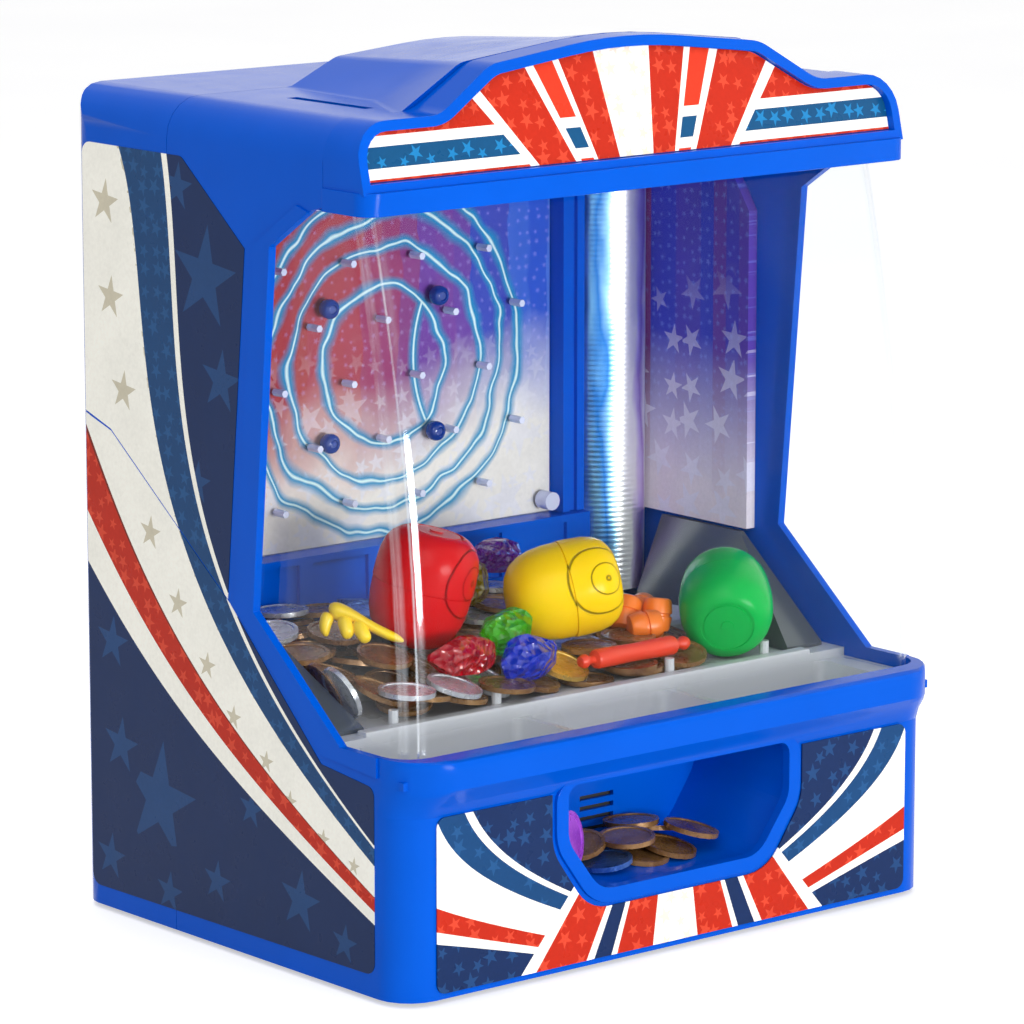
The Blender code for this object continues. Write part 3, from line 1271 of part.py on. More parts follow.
def make_contents():
    sections = [
        heap_section(-106, 108, 118, 120),
        heap_section(-30, 104, 113, 122),
        heap_section(68, 101, 106, 116),
    ]
    heap = loft("playfield_tokens", sections, BROWN)
    for name, centre, height, length, radius, tilt, material in CAPSULES:
        capsule(name, centre, height, length, radius, tilt, material)
        cut(heap, capsule(name + "_space", centre, height, length, radius, tilt, grow=0.5))
    pile = mirrored(
        [(34, WINDOW_BOTTOM + 3, 0), (37, WINDOW_BOTTOM + 7, 0), (20, WINDOW_BOTTOM + 11, 0)]
    )
    prism("prize_tray_tokens", "front", [pile], CHUTE_DEPTHS, BROWN)
    crystal("amber_crystal", (-4, 132), 126.3, (15, 10, 10), AMBER)
    crystal("green_crystal", (-20, 82), 115.3, (12, 9, 9), LIME)
    crystal("red_crystal", (-52, 72), 111.6, (13, 8, 8), RUBY)
    crystal("blue_crystal", (-22, 66), 108.0, (14, 7, 8), SAPPHIRE)
    prism("orange_stick", "plan", [rectangle((4, 60), (60, 67), 3.4)], (101, 107), ORANGE)
    prism("yellow_toy", "plan", [rectangle((-96, -74), (82, 104), 6)], (118.2, 124.2), YELLOW)


def crystal(name, centre, height, half_sizes, material):
    """A coarse faceted lump, at its real size."""
    shape = bmesh.new()
    bmesh.ops.create_icosphere(shape, subdivisions=1, radius=1)
    bmesh.ops.scale(shape, vec=Vector(half_sizes) * MM, verts=shape.verts)
    mesh = bpy.data.meshes.new(name)
    shape.to_mesh(mesh)
    shape.free()
    piece = add(name, mesh, material)
    piece.location = at(*centre, height)
    return piece


make_front_shell()
make_rear_shell()
make_base()
make_screws()
make_feet()
make_header()
make_clear_cover()
make_labels()
make_prize_tray()
make_speaker()
make_play_tray()
make_wings()
make_pusher()
make_pin_plate()
make_sill()
make_backdrop()
make_ceiling()
make_coin_chute()
make_drive()
make_circuit_board()
make_batteries()
make_switch()
make_rear_door()
make_contents()
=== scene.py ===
"""Coin pusher machine: the looks of its casing, playfield, prizes and works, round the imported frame."""

import json
from math import cos, pi, radians, sin, tau

import bpy
import numpy as np
from mathutils import Matrix, Vector
from mathutils.bvhtree import BVHTree

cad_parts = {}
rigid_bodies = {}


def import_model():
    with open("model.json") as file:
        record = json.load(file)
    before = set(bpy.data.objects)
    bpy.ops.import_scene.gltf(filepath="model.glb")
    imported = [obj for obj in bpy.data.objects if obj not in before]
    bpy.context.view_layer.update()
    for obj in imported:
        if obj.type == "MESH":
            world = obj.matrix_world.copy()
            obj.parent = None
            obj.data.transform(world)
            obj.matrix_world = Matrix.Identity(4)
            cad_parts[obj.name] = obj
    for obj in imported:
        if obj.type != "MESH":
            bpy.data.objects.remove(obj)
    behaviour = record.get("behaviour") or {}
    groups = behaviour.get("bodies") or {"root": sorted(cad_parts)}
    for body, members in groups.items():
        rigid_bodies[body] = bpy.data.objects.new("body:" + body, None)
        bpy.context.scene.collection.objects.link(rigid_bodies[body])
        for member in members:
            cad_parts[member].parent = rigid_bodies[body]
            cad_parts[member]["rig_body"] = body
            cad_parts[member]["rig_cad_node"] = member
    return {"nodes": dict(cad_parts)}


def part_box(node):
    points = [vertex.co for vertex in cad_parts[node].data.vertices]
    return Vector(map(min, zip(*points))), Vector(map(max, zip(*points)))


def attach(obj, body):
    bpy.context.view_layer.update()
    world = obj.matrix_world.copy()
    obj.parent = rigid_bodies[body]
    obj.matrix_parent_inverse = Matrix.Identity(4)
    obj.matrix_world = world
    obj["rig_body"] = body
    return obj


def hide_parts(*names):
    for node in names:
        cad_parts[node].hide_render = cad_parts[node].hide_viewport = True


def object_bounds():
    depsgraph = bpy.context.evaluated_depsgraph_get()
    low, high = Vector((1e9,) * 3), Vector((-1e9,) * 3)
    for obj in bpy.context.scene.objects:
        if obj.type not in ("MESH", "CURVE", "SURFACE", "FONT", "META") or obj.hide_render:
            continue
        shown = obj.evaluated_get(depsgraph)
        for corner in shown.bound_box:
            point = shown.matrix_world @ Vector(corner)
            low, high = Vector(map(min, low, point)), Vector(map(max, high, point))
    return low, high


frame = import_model()
CAD_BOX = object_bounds()

bl_info = {
    "name": "Coin pusher machine",
    "version": (1, 0, 0),
    "blender": (4, 5, 0),
    "location": "View3D > Sidebar > Coin pusher",
    "description": "Finishes a coin pusher machine and fills it with tokens and prizes",
    "category": "Object",
}

MM = 0.001
FOOT_HEIGHT = 2.0 * MM  # the casing stands this far off the floor
BASE_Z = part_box("foot_1")[0].z + FOOT_HEIGHT  # the casing's underside, where heights are counted from
LIP_OUT = 9.0 * MM  # how far the lip stands out in front of the front panel
PANEL_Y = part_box("front_shell")[0].y + LIP_OUT  # the front panel, where depths are counted from


def at(x, depth, height):
    """A place on the machine in mm: across it, back from the front panel, up from the base."""
    return Vector((x * MM, PANEL_Y + depth * MM, BASE_Z + height * MM))


def linear(code):
    """An sRGB hex colour as linear RGBA."""
    channels = [int(code[start : start + 2], 16) / 255 for start in (1, 3, 5)]
    return (*(c / 12.92 if c <= 0.04045 else ((c + 0.055) / 1.055) ** 2.4 for c in channels), 1.0)


# Node trees

SHADER = "Principled BSDF"
MIX_COLOURS = {"out": 2, "data_type": "RGBA"}  # a Mix node that blends two colours
NOISE_LOW, NOISE_HIGH = 0.3, 0.7  # noise seldom leaves this range


def add_node(tree, kind, values=(), out=0, **settings):
    """Adds a node with its settings, values and links. It gives one output, or the node if out is None."""
    node = tree.nodes.new("ShaderNode" + kind)
    for key, value in settings.items():
        setattr(node, key, value)
    for key, value in values.items() if isinstance(values, dict) else enumerate(values):
        if isinstance(value, bpy.types.NodeSocket):
            tree.links.new(value, node.inputs[key])
        else:
            node.inputs[key].default_value = value
    return node if out is None else node.outputs[out]


def blank(name, **values):
    """A new material, its tree, and its place in mm: across, back from the front panel, up from the base."""
    material = bpy.data.materials.new(name)
    material.use_nodes = True
    tree = material.node_tree
    for key, value in values.items():
        tree.nodes[SHADER].inputs[key.replace("_", " ")].default_value = value
    source = add_node(tree, "TexCoord", out="Object")
    shift = (0, -PANEL_Y / MM, -BASE_Z / MM)
    place = add_node(tree, "Mapping", {"Vector": source, "Location": shift, "Scale": (1000, 1000, 1000)})
    return material, tree, place


def finish(tree, colour, gloss, relief, depth):
    """Gives the shader its colour, roughness and a relief of a depth in mm. None leaves a value alone."""
    bump = add_node(tree, "Bump", {"Height": relief, "Distance": depth * MM})
    for key, value in (("Base Color", colour), ("Roughness", gloss), ("Normal", bump)):
        if value:
            tree.links.new(value, tree.nodes[SHADER].inputs[key])


def patches(tree, place, size, detail, low, high):
    """Soft random patches, of a size in mm, that run from a low to a high value."""
    cloud = add_node(tree, "TexNoise", {"Vector": place, "Scale": 1 / size, "Detail": detail})
    return add_node(tree, "MapRange", (cloud, NOISE_LOW, NOISE_HIGH, low, high))


def away_from(tree, value, middle):
    """How far a value lies from a middle one, on either side."""
    gap = add_node(tree, "Math", (value, middle), operation="SUBTRACT")
    return add_node(tree, "Math", (gap,), operation="ABSOLUTE")


def far_from(tree, x, y):
    """The distance from the origin to (x, y)."""
    squares = [add_node(tree, "Math", (side, side), operation="MULTIPLY") for side in (x, y)]
    return add_node(tree, "Math", (add_node(tree, "Math", squares, operation="ADD"),), operation="SQRT")


def colours_along(tree, value, stops, constant=False):
    """The colour at a value, from (value, hex colour) stops in rising order."""
    low, high = stops[0][0], stops[-1][0]
    span = (high - low) or 1
    factor = add_node(tree, "MapRange", (value, low, high, 0, 1))
    node = add_node(tree, "ValToRGB", (factor,), out=None)
    node.color_ramp.interpolation = "CONSTANT" if constant else "LINEAR"
    while len(node.color_ramp.elements) < len(stops):
        node.color_ramp.elements.new(1)
    for element, (where, code) in zip(node.color_ramp.elements, stops):
        element.position = (where - low) / span
        element.color = linear(code)
    return node.outputs[0]


def bands_along(tree, value, levels, first, *colours):
    """Flat bands of colour: `first` below the first level, then one colour from each level up."""
    stops = [(levels[0] - 1, first), *zip(levels, colours), (levels[-1] + 1, colours[-1])]
    return colours_along(tree, value, stops, constant=True)


def inside_star(tree, angle, length, limit):
    """1 inside a five-pointed star, from the angle and the distance to its centre."""
    folded = add_node(tree, "Math", (angle, pi / 5), operation="PINGPONG")
    side = add_node(tree, "Math", (folded, 2 * pi / 5), operation="SUBTRACT")
    share = add_node(tree, "Math", (side,), operation="COSINE")
    edge = add_node(tree, "Math", (length, share), operation="MULTIPLY")
    return add_node(tree, "Math", (edge, limit), operation="LESS_THAN")


def star_field(tree, across, up, pitch, size, salt=0.0):
    """1 inside stars strewn about `pitch` mm apart, the largest about `size` mm from centre to tip."""
    flat = add_node(tree, "CombineXYZ", (across, up, 0.0))
    values = (flat, (1 / pitch, 1 / pitch, 0), (salt, salt, 0))
    spot = add_node(tree, "VectorMath", values, operation="MULTIPLY_ADD")
    values = {"Vector": spot, "Scale": 1.0, "Randomness": 0.55}
    cell = add_node(tree, "TexVoronoi", values, out=None, voronoi_dimensions="2D")
    away = add_node(tree, "VectorMath", (spot, cell.outputs["Position"]), operation="SUBTRACT")
    parts = add_node(tree, "SeparateXYZ", (away,), out=None)
    draws = add_node(tree, "SeparateColor", (cell.outputs["Color"],), out=None)
    angle = add_node(tree, "Math", (parts.outputs[0], parts.outputs[1]), operation="ARCTAN2")
    turned = add_node(tree, "Math", (draws.outputs[0], 0.9, angle), operation="MULTIPLY_ADD")
    length = add_node(tree, "VectorMath", (away,), out="Value", operation="LENGTH")
    reach = add_node(tree, "Math", (draws.outputs[1], 0.45, 0.6), operation="MULTIPLY_ADD")
    limit = add_node(tree, "Math", (reach, size / pitch * cos(2 * pi / 5)), operation="MULTIPLY")
    return inside_star(tree, turned, length, limit)


def star_row(tree, across, up, stars):
    """1 inside each star of a list of (across, up, size) in mm: every point looks to its nearest star."""
    flat = add_node(tree, "CombineXYZ", (across, up, 0.0))
    nearest = (1e4, 1e4, 0.0)
    closest = 1e4
    size = 0.0
    for x, y, reach in stars:
        away = add_node(tree, "VectorMath", (flat, (x, y, 0.0)), operation="SUBTRACT")
        length = add_node(tree, "VectorMath", (away,), out="Value", operation="LENGTH")
        nearer = add_node(tree, "Math", (length, closest), operation="LESS_THAN")
        closest = add_node(tree, "Math", (length, closest), operation="MINIMUM")
        nearest = add_node(tree, "Mix", {0: nearer, 4: nearest, 5: away}, out=1, data_type="VECTOR")
        growth = add_node(tree, "Math", (reach, size), operation="SUBTRACT")
        size = add_node(tree, "Math", (nearer, growth, size), operation="MULTIPLY_ADD")
    parts = add_node(tree, "SeparateXYZ", (nearest,), out=None)
    angle = add_node(tree, "Math", (parts.outputs[0], parts.outputs[1]), operation="ARCTAN2")
    turned = add_node(tree, "Math", (angle, 0.12), operation="ADD")
    limit = add_node(tree, "Math", (size, cos(2 * pi / 5)), operation="MULTIPLY")
    return inside_star(tree, turned, closest, limit)


def polynomial(tree, u, v, rows):
    """The sum of rows[i][j] u^i v^j, by Horner's rule."""
    total = 0.0
    for row in reversed(rows):
        inner = 0.0
        for number in reversed(row):
            start = inner == 0.0
            inner = number if start else add_node(tree, "Math", (inner, v, number), operation="MULTIPLY_ADD")
        start = total == 0.0
        total = inner if start else add_node(tree, "Math", (total, u, inner), operation="MULTIPLY_ADD")
    return total


# Prints

NAVY, NAVY_STAR = "#142C58", "#21497C"
STEEL, STEEL_STAR = "#154474", "#23568A"
RED, RED_STAR = "#C02A14", "#DE4A30"
CREAM, CREAM_STAR = "#FFFDF2", "#C9C0A6"
# a dark red-brown shadow painted along the upper side of the red ribbon on the side films
RED_RIBBON_PAINTED_SHADOW = "#7A2415"
TEAL, TEAL_STAR = "#0E4F7C", "#1F86C4"

# The edges between ribbons, lowest first: places in mm that each edge passes near
SIDE_EDGES = (
    ((202, 144), (186, 128), (157, 103), (125, 82), (90, 61), (60, 46), (19, 30)),
    ((202, 160), (181, 133), (156, 114), (125, 93), (90, 72), (56, 55), (19, 34)),
    (
        (202, 201), (184, 173), (169, 149), (189, 174), (173, 153), (147, 122), (125, 104), (90, 80),
        (60, 63), (19, 41),
    ),
    (
        (173, 307), (170, 260), (162, 218), (146, 178), (136, 154), (148, 178), (139, 163), (120, 134),
        (98, 110), (72, 88), (47, 70), (19, 54),
    ),
    (
        (150, 309), (147, 262), (140, 221), (130, 181), (119, 157), (131, 182), (121, 161), (111, 143),
        (96, 122), (76, 101), (51, 81), (18, 61),
    ),
    (
        (145, 310), (142, 263), (136, 222), (126, 181), (116, 158), (128, 183), (118, 161), (107, 144),
        (92, 122), (74, 101), (49, 81), (18, 60),
    ),
)
FRONT_EDGES = (
    ((124, 22), (100, 16), (78, 11)),
    ((124, 28), (108, 22), (92, 17), (75, 13)),
    ((124, 38), (108, 29), (88, 22), (70, 17)),
    ((124, 67), (108, 51), (83, 35), (62, 26)),
    ((112, 73), (101, 60), (92, 51), (75, 38), (57, 29)),
    ((106, 72), (92, 55), (75, 41), (56, 31)),
)
TIE = 1e-9  # keeps the fit steady where the places leave it free
RED_PAINTED_SHADOW_WIDTH = 0.0157  # width of the painted shadow band along the red ribbon, in levels
SPARE = 0.001  # the wide ribbon's own stars reach this much past its edges, in levels

# The side films' own stars: the row along the wide ribbon, and the big ones on the dark fields
RIBBON_STARS = (
    (188, 291, 9.5), (185, 253, 9), (177, 216, 8.6), (160, 161, 7.2), (142, 135, 6.4), (123, 113, 5.8),
    (106, 95, 5.2), (85, 81, 4.8), (70, 68, 4.6), (49, 57, 4.2), (30, 50, 3.8),
)
FIELD_STARS = (
    (156, 52, 25), (122, 268, 21), (187, 112, 11), (182, 70, 12), (64, 29, 13), (118, 26, 9), (146, 224, 7),
    (112, 228, 13), (128, 186, 9), (139, 302, 10), (95, 60, 8), (36, 18, 8), (150, 15, 9), (190, 22, 10),
)


def ribbon_levels(tree, x, y, middle, edges, degree):
    """A smooth level that stays the same along each edge: its socket, and the level of each edge."""
    powers = [(i, j) for i in range(degree + 1) for j in range(degree + 1 - i)][1:]
    count = len(powers) + len(edges)
    equations = []
    for number, edge in enumerate(edges):
        own = [-float(other == number) for other in range(len(edges))]
        for place in edge:
            u, v = ((spot - centre) / 100 for spot, centre in zip(place, middle))
            equations.append([u**i * v**j for i, j in powers] + own)
    equations = np.array(equations)
    span = np.zeros(count)  # the first and the last edge lie one level apart
    span[len(powers)], span[-1] = -1, 1
    found = np.linalg.solve(equations.T @ equations + TIE * np.eye(count), span)
    found /= span @ found
    rows = [[0.0] * (degree + 1 - i) for i in range(degree + 1)]
    for (i, j), number in zip(powers, found):
        rows[i][j] = float(number)
    u, v = (
        add_node(tree, "Math", (spot, 0.01, -centre / 100), operation="MULTIPLY_ADD")
        for spot, centre in zip((x, y), middle)
    )
    return polynomial(tree, u, v, rows), [float(level) for level in found[len(powers) :]]


def side_bands(tree, place, stars):
    """Curved ribbons that sweep from the lower front up to the top at the back, over fields of stars."""
    parts = add_node(tree, "SeparateXYZ", (place,), out=None)
    depth, height = parts.outputs[1], parts.outputs[2]
    level, edges = ribbon_levels(tree, depth, height, (100, 150), SIDE_EDGES, 3)
    # the painted shadow band sits at the top of the red ribbon, against the wide cream ribbon
    levels = [*edges[:2], edges[2] - RED_PAINTED_SHADOW_WIDTH, *edges[2:]]
    ground = bands_along(tree, level, levels, NAVY, CREAM, RED, RED_RIBBON_PAINTED_SHADOW, CREAM, STEEL, CREAM, NAVY)
    colours = (NAVY_STAR, CREAM, RED_STAR, RED_RIBBON_PAINTED_SHADOW, CREAM_STAR, STEEL_STAR, CREAM, NAVY_STAR)
    marks = bands_along(tree, level, levels, *colours)
    big = star_row(tree, depth, height, FIELD_STARS)
    medium = star_row(tree, depth, height, RIBBON_STARS)
    small = star_field(tree, depth, height, 8, 4, 7.0)
    lowest = add_node(tree, "Math", (level, levels[0]), operation="LESS_THAN")
    middle, half = (edges[2] + edges[3]) / 2, (edges[3] - edges[2]) / 2
    ribbon = add_node(tree, "Math", (level, middle, half + SPARE), operation="COMPARE")
    highest = add_node(tree, "Math", (level, (edges[4] + edges[5]) / 2), operation="GREATER_THAN")
    plain = add_node(tree, "Math", (lowest, big), operation="MULTIPLY")
    row_stars = add_node(tree, "Math", (ribbon, medium), operation="MULTIPLY")
    above = add_node(tree, "Math", (ribbon, highest), operation="ADD")
    wide = add_node(tree, "Math", (lowest, above), operation="ADD")
    narrow = add_node(tree, "Math", (1.0, wide), operation="SUBTRACT")
    rest = add_node(tree, "Math", (narrow, small), operation="MULTIPLY")
    upper = add_node(tree, "Math", (highest, big), operation="MULTIPLY")
    low_pick = add_node(tree, "Math", (plain, row_stars), operation="MAXIMUM")
    high_pick = add_node(tree, "Math", (rest, upper), operation="MAXIMUM")
    pick = add_node(tree, "Math", (low_pick, high_pick), operation="MAXIMUM")
    pick = add_node(tree, "Math", (pick, stars), operation="MULTIPLY")
    return add_node(tree, "Mix", {0: pick, 6: ground, 7: marks}, **MIX_COLOURS)


def front_bands(tree, place, stars):
    """Rays that rise to the window from the middle of the foot, between ribbons that sweep outwards."""
    parts = add_node(tree, "SeparateXYZ", (place,), out=None)
    across, height = parts.outputs[0], parts.outputs[2]
    aside = add_node(tree, "Math", (across,), operation="ABSOLUTE")
    level, levels = ribbon_levels(tree, aside, height, (70, 50), FRONT_EDGES, 2)
    ribbons = bands_along(tree, level, levels, NAVY, CREAM, RED, CREAM, STEEL, CREAM, NAVY)
    colours = (NAVY_STAR, CREAM, RED_STAR, CREAM, STEEL_STAR, CREAM, NAVY_STAR)
    ribbon_marks = bands_along(tree, level, levels, *colours)
    reach = add_node(tree, "Math", (95.0, height), operation="SUBTRACT")
    middle = add_node(tree, "Math", (across, 2.0), operation="ADD")
    middle = add_node(tree, "Math", (middle,), operation="ABSOLUTE")
    share = add_node(tree, "Math", (middle, reach), operation="DIVIDE")
    edges = (0.12, 0.33, 0.355, 0.45, 0.50, 0.78, 0.865)
    rays = bands_along(tree, share, edges, CREAM, RED, CREAM, NAVY, CREAM, RED, CREAM, CREAM)
    colours = ("#F2E6CC", RED_STAR, CREAM, NAVY, CREAM, RED_STAR, CREAM, CREAM)
    ray_marks = bands_along(tree, share, edges, *colours)
    inside = add_node(tree, "Math", (share, edges[-1]), operation="LESS_THAN")
    small = add_node(tree, "Math", (star_field(tree, across, height, 9, 4.2), stars), operation="MULTIPLY")
    ground = add_node(tree, "Mix", {0: inside, 6: ribbons, 7: rays}, **MIX_COLOURS)
    mark = add_node(tree, "Mix", {0: inside, 6: ribbon_marks, 7: ray_marks}, **MIX_COLOURS)
    return add_node(tree, "Mix", {0: small, 6: ground, 7: mark}, **MIX_COLOURS)


def header_bands(tree, place, stars):
    """A fan of rays in the middle of the header, with level stripes out to its sides."""
    parts = add_node(tree, "SeparateXYZ", (place,), out=None)
    across, height = parts.outputs[0], parts.outputs[2]
    reach = add_node(tree, "Math", (height, 252.0), operation="SUBTRACT")
    middle = add_node(tree, "Math", (across, 0.7), operation="ADD")
    middle = add_node(tree, "Math", (middle,), operation="ABSOLUTE")
    share = add_node(tree, "Math", (middle, reach), operation="DIVIDE")
    levels = (314.6, 318.6, 326.6, 330.6)
    stripes = bands_along(tree, height, levels, RED, CREAM, TEAL, CREAM, RED)
    stripe_marks = bands_along(tree, height, levels, RED_STAR, CREAM, TEAL_STAR, CREAM, RED_STAR)
    checks = bands_along(tree, height, levels, "#E03A20", CREAM, TEAL, CREAM, "#E03A20")
    edges = (0.134, 0.314, 0.355, 0.458, 0.503, 0.797, 0.875)
    rays = bands_along(tree, share, edges, CREAM, RED, CREAM, CREAM, CREAM, RED, CREAM, CREAM)
    colours = ("#F4E2C4", RED_STAR, CREAM, CREAM, CREAM, RED_STAR, CREAM, CREAM)
    ray_marks = bands_along(tree, share, edges, *colours)
    in_check = add_node(tree, "Math", (share, 0.4065, 0.0515), operation="COMPARE")
    inside = add_node(tree, "Math", (share, edges[-1]), operation="LESS_THAN")
    small = star_field(tree, across, height, 8, 3.9, 2.0)
    small = add_node(tree, "Math", (small, stars), operation="MULTIPLY")
    fan = add_node(tree, "Mix", {0: small, 6: rays, 7: ray_marks}, **MIX_COLOURS)
    fan = add_node(tree, "Mix", {0: in_check, 6: fan, 7: checks}, **MIX_COLOURS)
    outside = add_node(tree, "Mix", {0: small, 6: stripes, 7: stripe_marks}, **MIX_COLOURS)
    return add_node(tree, "Mix", {0: inside, 6: outside, 7: fan}, **MIX_COLOURS)


RINGS = (72.0, 62.0, 50.0, 32.0)  # radii in mm of the board's glowing rings
RINGS_MIDDLE = (-8.0, 214.0)


def board_print(tree, place, stars):
    """Glowing wavy rings on a dusk sky that runs from red to indigo and pales towards the foot."""
    parts = add_node(tree, "SeparateXYZ", (place,), out=None)
    across, height = parts.outputs[0], parts.outputs[2]
    ragged = add_node(tree, "Math", (across, patches(tree, place, 40, 3, -3, 3)), operation="ADD")
    strip = add_node(tree, "Math", (ragged, 10.0), operation="SNAP")
    step = patches(tree, add_node(tree, "CombineXYZ", (strip, 0.0, 0.0)), 7, 1, -22, 22)
    dusk = [
        (-130, "#A83040"), (-104, "#CC5A28"), (-78, "#B8403A"), (-32, "#B84058"), (0, "#94448C"),
        (26, "#7C44A8"), (44, "#4444B4"), (68, "#2C58D4"), (96, "#5480E0"),
    ]
    sky = colours_along(tree, add_node(tree, "Math", (strip, step), operation="ADD"), dusk)
    dots = star_field(tree, across, height, 5.2, 1.7, 11.0)
    dots = add_node(tree, "Math", (dots, 0.22), operation="MULTIPLY")
    sky = add_node(tree, "Mix", {0: dots, 6: sky, 7: linear("#C9B8FF")}, **MIX_COLOURS)
    slope = add_node(tree, "Math", (across, -0.17, height), operation="MULTIPLY_ADD")
    slope = add_node(tree, "Math", (slope, patches(tree, place, 40, 3, -9, 9)), operation="ADD")
    foot = add_node(tree, "MapRange", (slope, 168, 214, 0.96, 0))
    sky = add_node(tree, "Mix", {0: foot, 6: sky, 7: linear("#FFF6EE")}, **MIX_COLOURS)
    little = star_field(tree, across, height, 14, 5.6, 5.0)
    large = star_field(tree, across, height, 27, 11, 2.0)
    pale = add_node(tree, "Math", (little, large), operation="MAXIMUM")
    low = add_node(tree, "MapRange", (height, 165, 228, 0.6, 0.0))
    shown = add_node(tree, "Math", (pale, low), operation="MULTIPLY")
    shown = add_node(tree, "Math", (shown, stars), operation="MULTIPLY")
    sky = add_node(tree, "Mix", {0: shown, 6: sky, 7: linear("#F3EEF8")}, **MIX_COLOURS)
    dx = add_node(tree, "Math", (across, -RINGS_MIDDLE[0]), operation="ADD")
    dz = add_node(tree, "Math", (height, RINGS_MIDDLE[1]), operation="SUBTRACT")
    wobble = patches(tree, place, 34, 2, -3.5, 3.5)
    distance = add_node(tree, "Math", (far_from(tree, dx, dz), wobble), operation="ADD")
    nearest = 99.0
    for radius in RINGS:
        away = away_from(tree, distance, radius)
        nearest = add_node(tree, "Math", (nearest, away), operation="MINIMUM")
    # an arc of a wider ring closes the right of the smallest one into a leaf
    aside = add_node(tree, "Math", (dx, 74.0), operation="SUBTRACT")
    arc = away_from(tree, far_from(tree, aside, dz), 59.0)
    outside = add_node(tree, "Math", (distance, RINGS[-1]), operation="GREATER_THAN")
    outside = add_node(tree, "Math", (outside, 99.0), operation="MULTIPLY")
    arc = add_node(tree, "Math", (arc, outside), operation="ADD")
    nearest = add_node(tree, "Math", (nearest, arc), operation="MINIMUM")
    glow = add_node(tree, "MapRange", (nearest, 0.9, 3.6, 0.96, 0))
    sky = add_node(tree, "Mix", {0: glow, 6: sky, 7: linear("#0094C8")}, **MIX_COLOURS)
    core = add_node(tree, "MapRange", (nearest, 0.15, 0.75, 1, 0))
    return add_node(tree, "Mix", {0: core, 6: sky, 7: linear("#E8FFFF")}, **MIX_COLOURS)


def wall_print(tree, place, stars):
    """Blue and violet streaks with rows of dots and pale stars, fading to white at the foot."""
    parts = add_node(tree, "SeparateXYZ", (place,), out=None)
    depth, height = parts.outputs[1], parts.outputs[2]
    strip = add_node(tree, "CombineXYZ", (add_node(tree, "Math", (depth, 8.0), operation="SNAP"), 0.0, 0.0))
    streak = add_node(tree, "TexNoise", {"Vector": strip, "Scale": 1 / 9, "Detail": 1})
    streaks = [(0.3, "#1650D8"), (0.45, "#3440C0"), (0.58, "#6440A8"), (0.7, "#98407C")]
    sky = colours_along(tree, streak, streaks)
    dots = star_field(tree, depth, height, 5.0, 1.8, 4.0)
    dots = add_node(tree, "Math", (dots, 0.25), operation="MULTIPLY")
    sky = add_node(tree, "Mix", {0: dots, 6: sky, 7: linear("#8FB0FF")}, **MIX_COLOURS)
    ragged = add_node(tree, "MapRange", (streak, NOISE_LOW, NOISE_HIGH, -8, 8))
    ragged = add_node(tree, "Math", (height, ragged), operation="ADD")
    foot = add_node(tree, "MapRange", (ragged, 150, 214, 0.95, 0))
    sky = add_node(tree, "Mix", {0: foot, 6: sky, 7: linear("#F8ECEE")}, **MIX_COLOURS)
    pale = star_field(tree, depth, height, 19, 9.5, 9.0)
    low = add_node(tree, "MapRange", (height, 185, 250, 0.7, 0.0))
    shown = add_node(tree, "Math", (pale, low), operation="MULTIPLY")
    shown = add_node(tree, "Math", (shown, stars), operation="MULTIPLY")
    return add_node(tree, "Mix", {0: shown, 6: sky, 7: linear("#F1EDFA")}, **MIX_COLOURS)


# Materials


def moulded(name, colour, roughness, grain=0.9, grain_depth=0.012, shade=0.08, **values):
    """A moulded plastic: a fine mould grain, slow changes of tone and uneven gloss."""
    material, tree, place = blank(name, **values)
    tone = linear(colour)[:3]
    dark = (*(c * (1 - shade) for c in tone), 1)
    light = (*(min(1, c * (1 + shade)) for c in tone), 1)
    tones = {0: patches(tree, place, 45, 3, 0, 1), 6: dark, 7: light}
    picture = add_node(tree, "Mix", tones, **MIX_COLOURS)
    gloss = patches(tree, place, 14, 4, roughness * 0.82, min(1, roughness * 1.22))
    relief = add_node(tree, "TexNoise", {"Vector": place, "Scale": 1 / grain, "Detail": 2})
    finish(tree, picture, gloss, relief, grain_depth)
    return material


# Painted highlights, upright lines of light at the cover's round corners: how far the surface has turned,
# half width, strength
PAINTED_GLINTS = ((0.3, 0.2, 0.07), (0.47, 0.05, 0.34), (0.8, 0.1, 0.1), (0.9, 0.03, 0.16))


